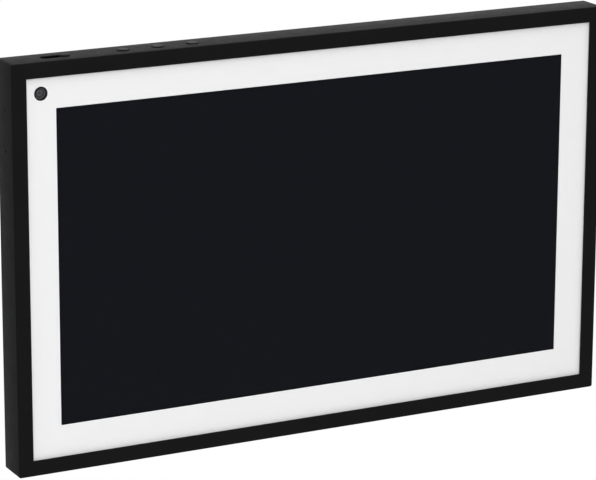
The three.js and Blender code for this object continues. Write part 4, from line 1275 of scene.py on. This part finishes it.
def make_plate():
    plate = slab("plate_piece", plate_high.x, plate_high.z, plate_high.y, plate_low.y,
                 plate_corner, plate_edge, round_front=False)
    across = mouth_stations(plate_high.y, plate_high.y - plate_low.y + reach_past)
    slot_reach = keyhole_rise + keyhole_shank
    for x in (-keyhole_x, keyhole_x):
        keyhole = punch("head_hole", keyhole_head, keyhole_head, across, (x, 0, keyhole_low),
                        sides=finest_round)
        shank_slot = punch("shank_slot", slot_reach, keyhole_shank, across,
                           (x, 0, keyhole_low + slot_reach / 2), upright=True)
        combine(keyhole, [shank_slot], "UNION")
        combine(plate, [keyhole])
    combine(plate, round_punches("sink", sink_diameter, [
        (plate_low.y - overcut, 0), (plate_high.y + overcut, sink_growth)], hanger_screw_places))
    return plate


plate = make_plate()
smooth(plate, 30)
hand_over(plate, "hanger_plate")

# %% [markdown]
# ### Wall pads
#
# Four soft rubber discs keep the display off the wall. Each is spun, with two shallow grooves that give grip.

# %% Wall pads
pad_low, pad_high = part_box("upper_left_wall_pad")
pad_round = 0.4 * mm
pad_rings = (5.6 * mm, 3.2 * mm)
pad_groove = 0.25 * mm


def pad_profile():
    height = pad_high.y - pad_low.y
    radius = pad_diameter / 2
    floor = height - pad_groove
    profile = [(0, 0), (radius, 0), *arc(pad_round, 0, pi / 2, (radius - pad_round, height - pad_round), 4)]
    for ring in pad_rings:
        profile += [(ring + 0.4 * mm, height), (ring + 0.2 * mm, floor), (ring - 0.2 * mm, floor),
                    (ring - 0.4 * mm, height)]
    return profile + [(0, height)]


first_pad_x, first_pad_z = pad_places[0]
first_pad = turned("pad", pad_profile(), (first_pad_x, pad_low.y, first_pad_z))
smooth(first_pad)
pads = [first_pad] + [copied(first_pad, "pad", (x - first_pad_x, 0, z - first_pad_z))
                      for x, z in pad_places[1:]]
for pad, corner_name in zip(pads, ("lower_left", "lower_right", "upper_left", "upper_right")):
    hand_over(pad, corner_name + "_wall_pad")

# %% [markdown]
# ### Screws
#
# A pan head screw and a countersunk one are each spun once, with rings for their thread and a cross recess,
# and copied to their places. A real thread is a spiral, but rings look the same from a step away.

# %% Heads, thread and cross recess
shank_radius = 1.25 * mm
core_radius = shank_radius * 0.84
thread_pitch = 0.9 * mm
screw_point = 0.6 * mm
recess_size, recess_depth = 2.6 * mm, 0.7 * mm
pan_head = [(0, 0), (1.0 * mm, 0.02 * mm), (1.7 * mm, 0.12 * mm), (2.2 * mm, 0.35 * mm),
            (2.45 * mm, 0.65 * mm), (2.5 * mm, 0.9 * mm), (2.5 * mm, 1.1 * mm), (shank_radius, 1.1 * mm)]
sunk_head = [(0, 0), (2.6 * mm, 0), (2.8 * mm, 0.08 * mm), (2.75 * mm, 0.16 * mm), (shank_radius, 1.4 * mm)]


def cross_cutter(face):
    """Two crossed wedges that leave a cross recess in a screw's head."""
    width, taper = recess_size * 0.28, -recess_size * 0.07
    stations = [(face - recess_depth, taper), (face + 0.01 * mm, 0), (face + reach_past, 0)]
    level, upright = [punch("arm", recess_size, width, stations, (0, 0, 0), upright=turn, sides=8)
                      for turn in (False, True)]
    combine(level, [upright], "UNION")
    return level


def thread(length, head_end):
    """The shank's outline with a few rings for its thread, down to its point."""
    rings = []
    level = head_end + thread_pitch
    while level < length - screw_point - thread_pitch:
        rings += [(core_radius, level), (shank_radius, level + thread_pitch / 2)]
        level += thread_pitch
    return rings + [(core_radius, length - screw_point), (0, length)]


# %% Screws in their places
pan_low, pan_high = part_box("cover_screw_1")
sunk_low, sunk_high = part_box("hanger_screw_1")


def make_screw(head, length, face):
    """A screw whose head faces the wall at this place along Y, drawn from its head to its point."""
    drawing = head + thread(length, head[-1][1])
    profile = [(radius, length - height) for radius, height in drawing]
    screw = turned("screw", profile, (0, face - length, 0), steps=coarse_round)
    combine(screw, [cross_cutter(face)])
    return screw


def place_screws(name, head, low, high, places):
    screw = make_screw(head, high.y - low.y, high.y)
    smooth(screw, 30)
    for index, (x, z) in enumerate(places):
        hand_over(copied(screw, "screw", (x, 0, z)), f"{name}_{index + 1}")
    bpy.data.objects.remove(screw)


place_screws("cover_screw", pan_head, pan_low, pan_high, cover_screw_places)
place_screws("hanger_screw", sunk_head, sunk_low, sunk_high, hanger_screw_places)

# %% [markdown]
# ### Speaker cones
#
# The cones lie behind the slots in the cover, so they show as round grey shapes in the dark. A cone is one
# thin sheet, so its section goes out along the back and returns along the front.

# %% Speaker cones
cone_low, cone_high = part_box("right_speaker_cone")
cone_radius = (cone_high.x - cone_low.x) / 2
cone_x = (cone_high.x + cone_low.x) / 2
cone_depth = cone_high.y - cone_low.y


def cone_profile():
    """A dome, a deep cone and a rolled surround, with the same sheet's other side back to the axis."""
    skin, dome_radius, roll, rim_width = 0.8 * mm, 7 * mm, 1.4 * mm, 1 * mm
    rim = cone_depth - 1.6 * mm
    dome_back = arc(8.8 * mm, pi / 2, 0.2 * pi, (0, cone_depth - 10 * mm), 5)
    surround = arc(roll, pi, 0, (cone_radius - roll - rim_width, rim), 8)
    back = dome_back + surround + [(cone_radius, rim)]
    front = [(cone_radius, rim - skin), (cone_radius - 2 * roll - rim_width, rim - skin),
             (dome_radius, skin * 0.2), (dome_radius * 0.5, 0), (0, 0)]
    return back + front


first_cone = turned("cone", cone_profile(), (cone_x, cone_low.y, 0))
smooth(first_cone)
for cone, node_name in ((copied(first_cone, "cone", (-2 * cone_x, 0, 0)), "left_speaker_cone"),
                        (first_cone, "right_speaker_cone")):
    hand_over(cone, node_name)

# %% [markdown]
# ### Power socket
#
# The socket sits above the notch, where the plug comes up from below. It is a rounded block with a round bore
# and a centre pin that stands in it.

# %% Power socket
bore_diameter, bore_flare, bore_mouth = 5.6 * mm, 0.3 * mm, 0.4 * mm
bore_depth = 9.45 * mm
pin_radius, pin_tip = 0.95 * mm, 0.6 * mm


def make_socket():
    socket = block("socket_piece", socket_low, socket_high)
    soften(socket, 0.4 * mm, 3)
    floor_z = socket_low.z + bore_depth
    combine(socket, [punch("bore", bore_diameter, bore_diameter, [
        (socket_low.z - reach_past, bore_flare), (socket_low.z, bore_flare), (socket_low.z + bore_mouth, 0),
        (floor_z, 0)], (0, plug_y, 0), "Z", sides=fine_round)])
    pin_length = floor_z - socket_low.z
    section = [(0, 0), (pin_tip, 0), (pin_radius, 0.4 * mm), (pin_radius, pin_length), (0, pin_length)]
    pin = turned("pin", section, (0, plug_y, socket_low.z + 1 * mm), "Z", steps=coarse_round)
    combine(socket, [pin], "UNION")
    return socket


socket = make_socket()
smooth(socket, 30)
hand_over(socket, "power_socket")
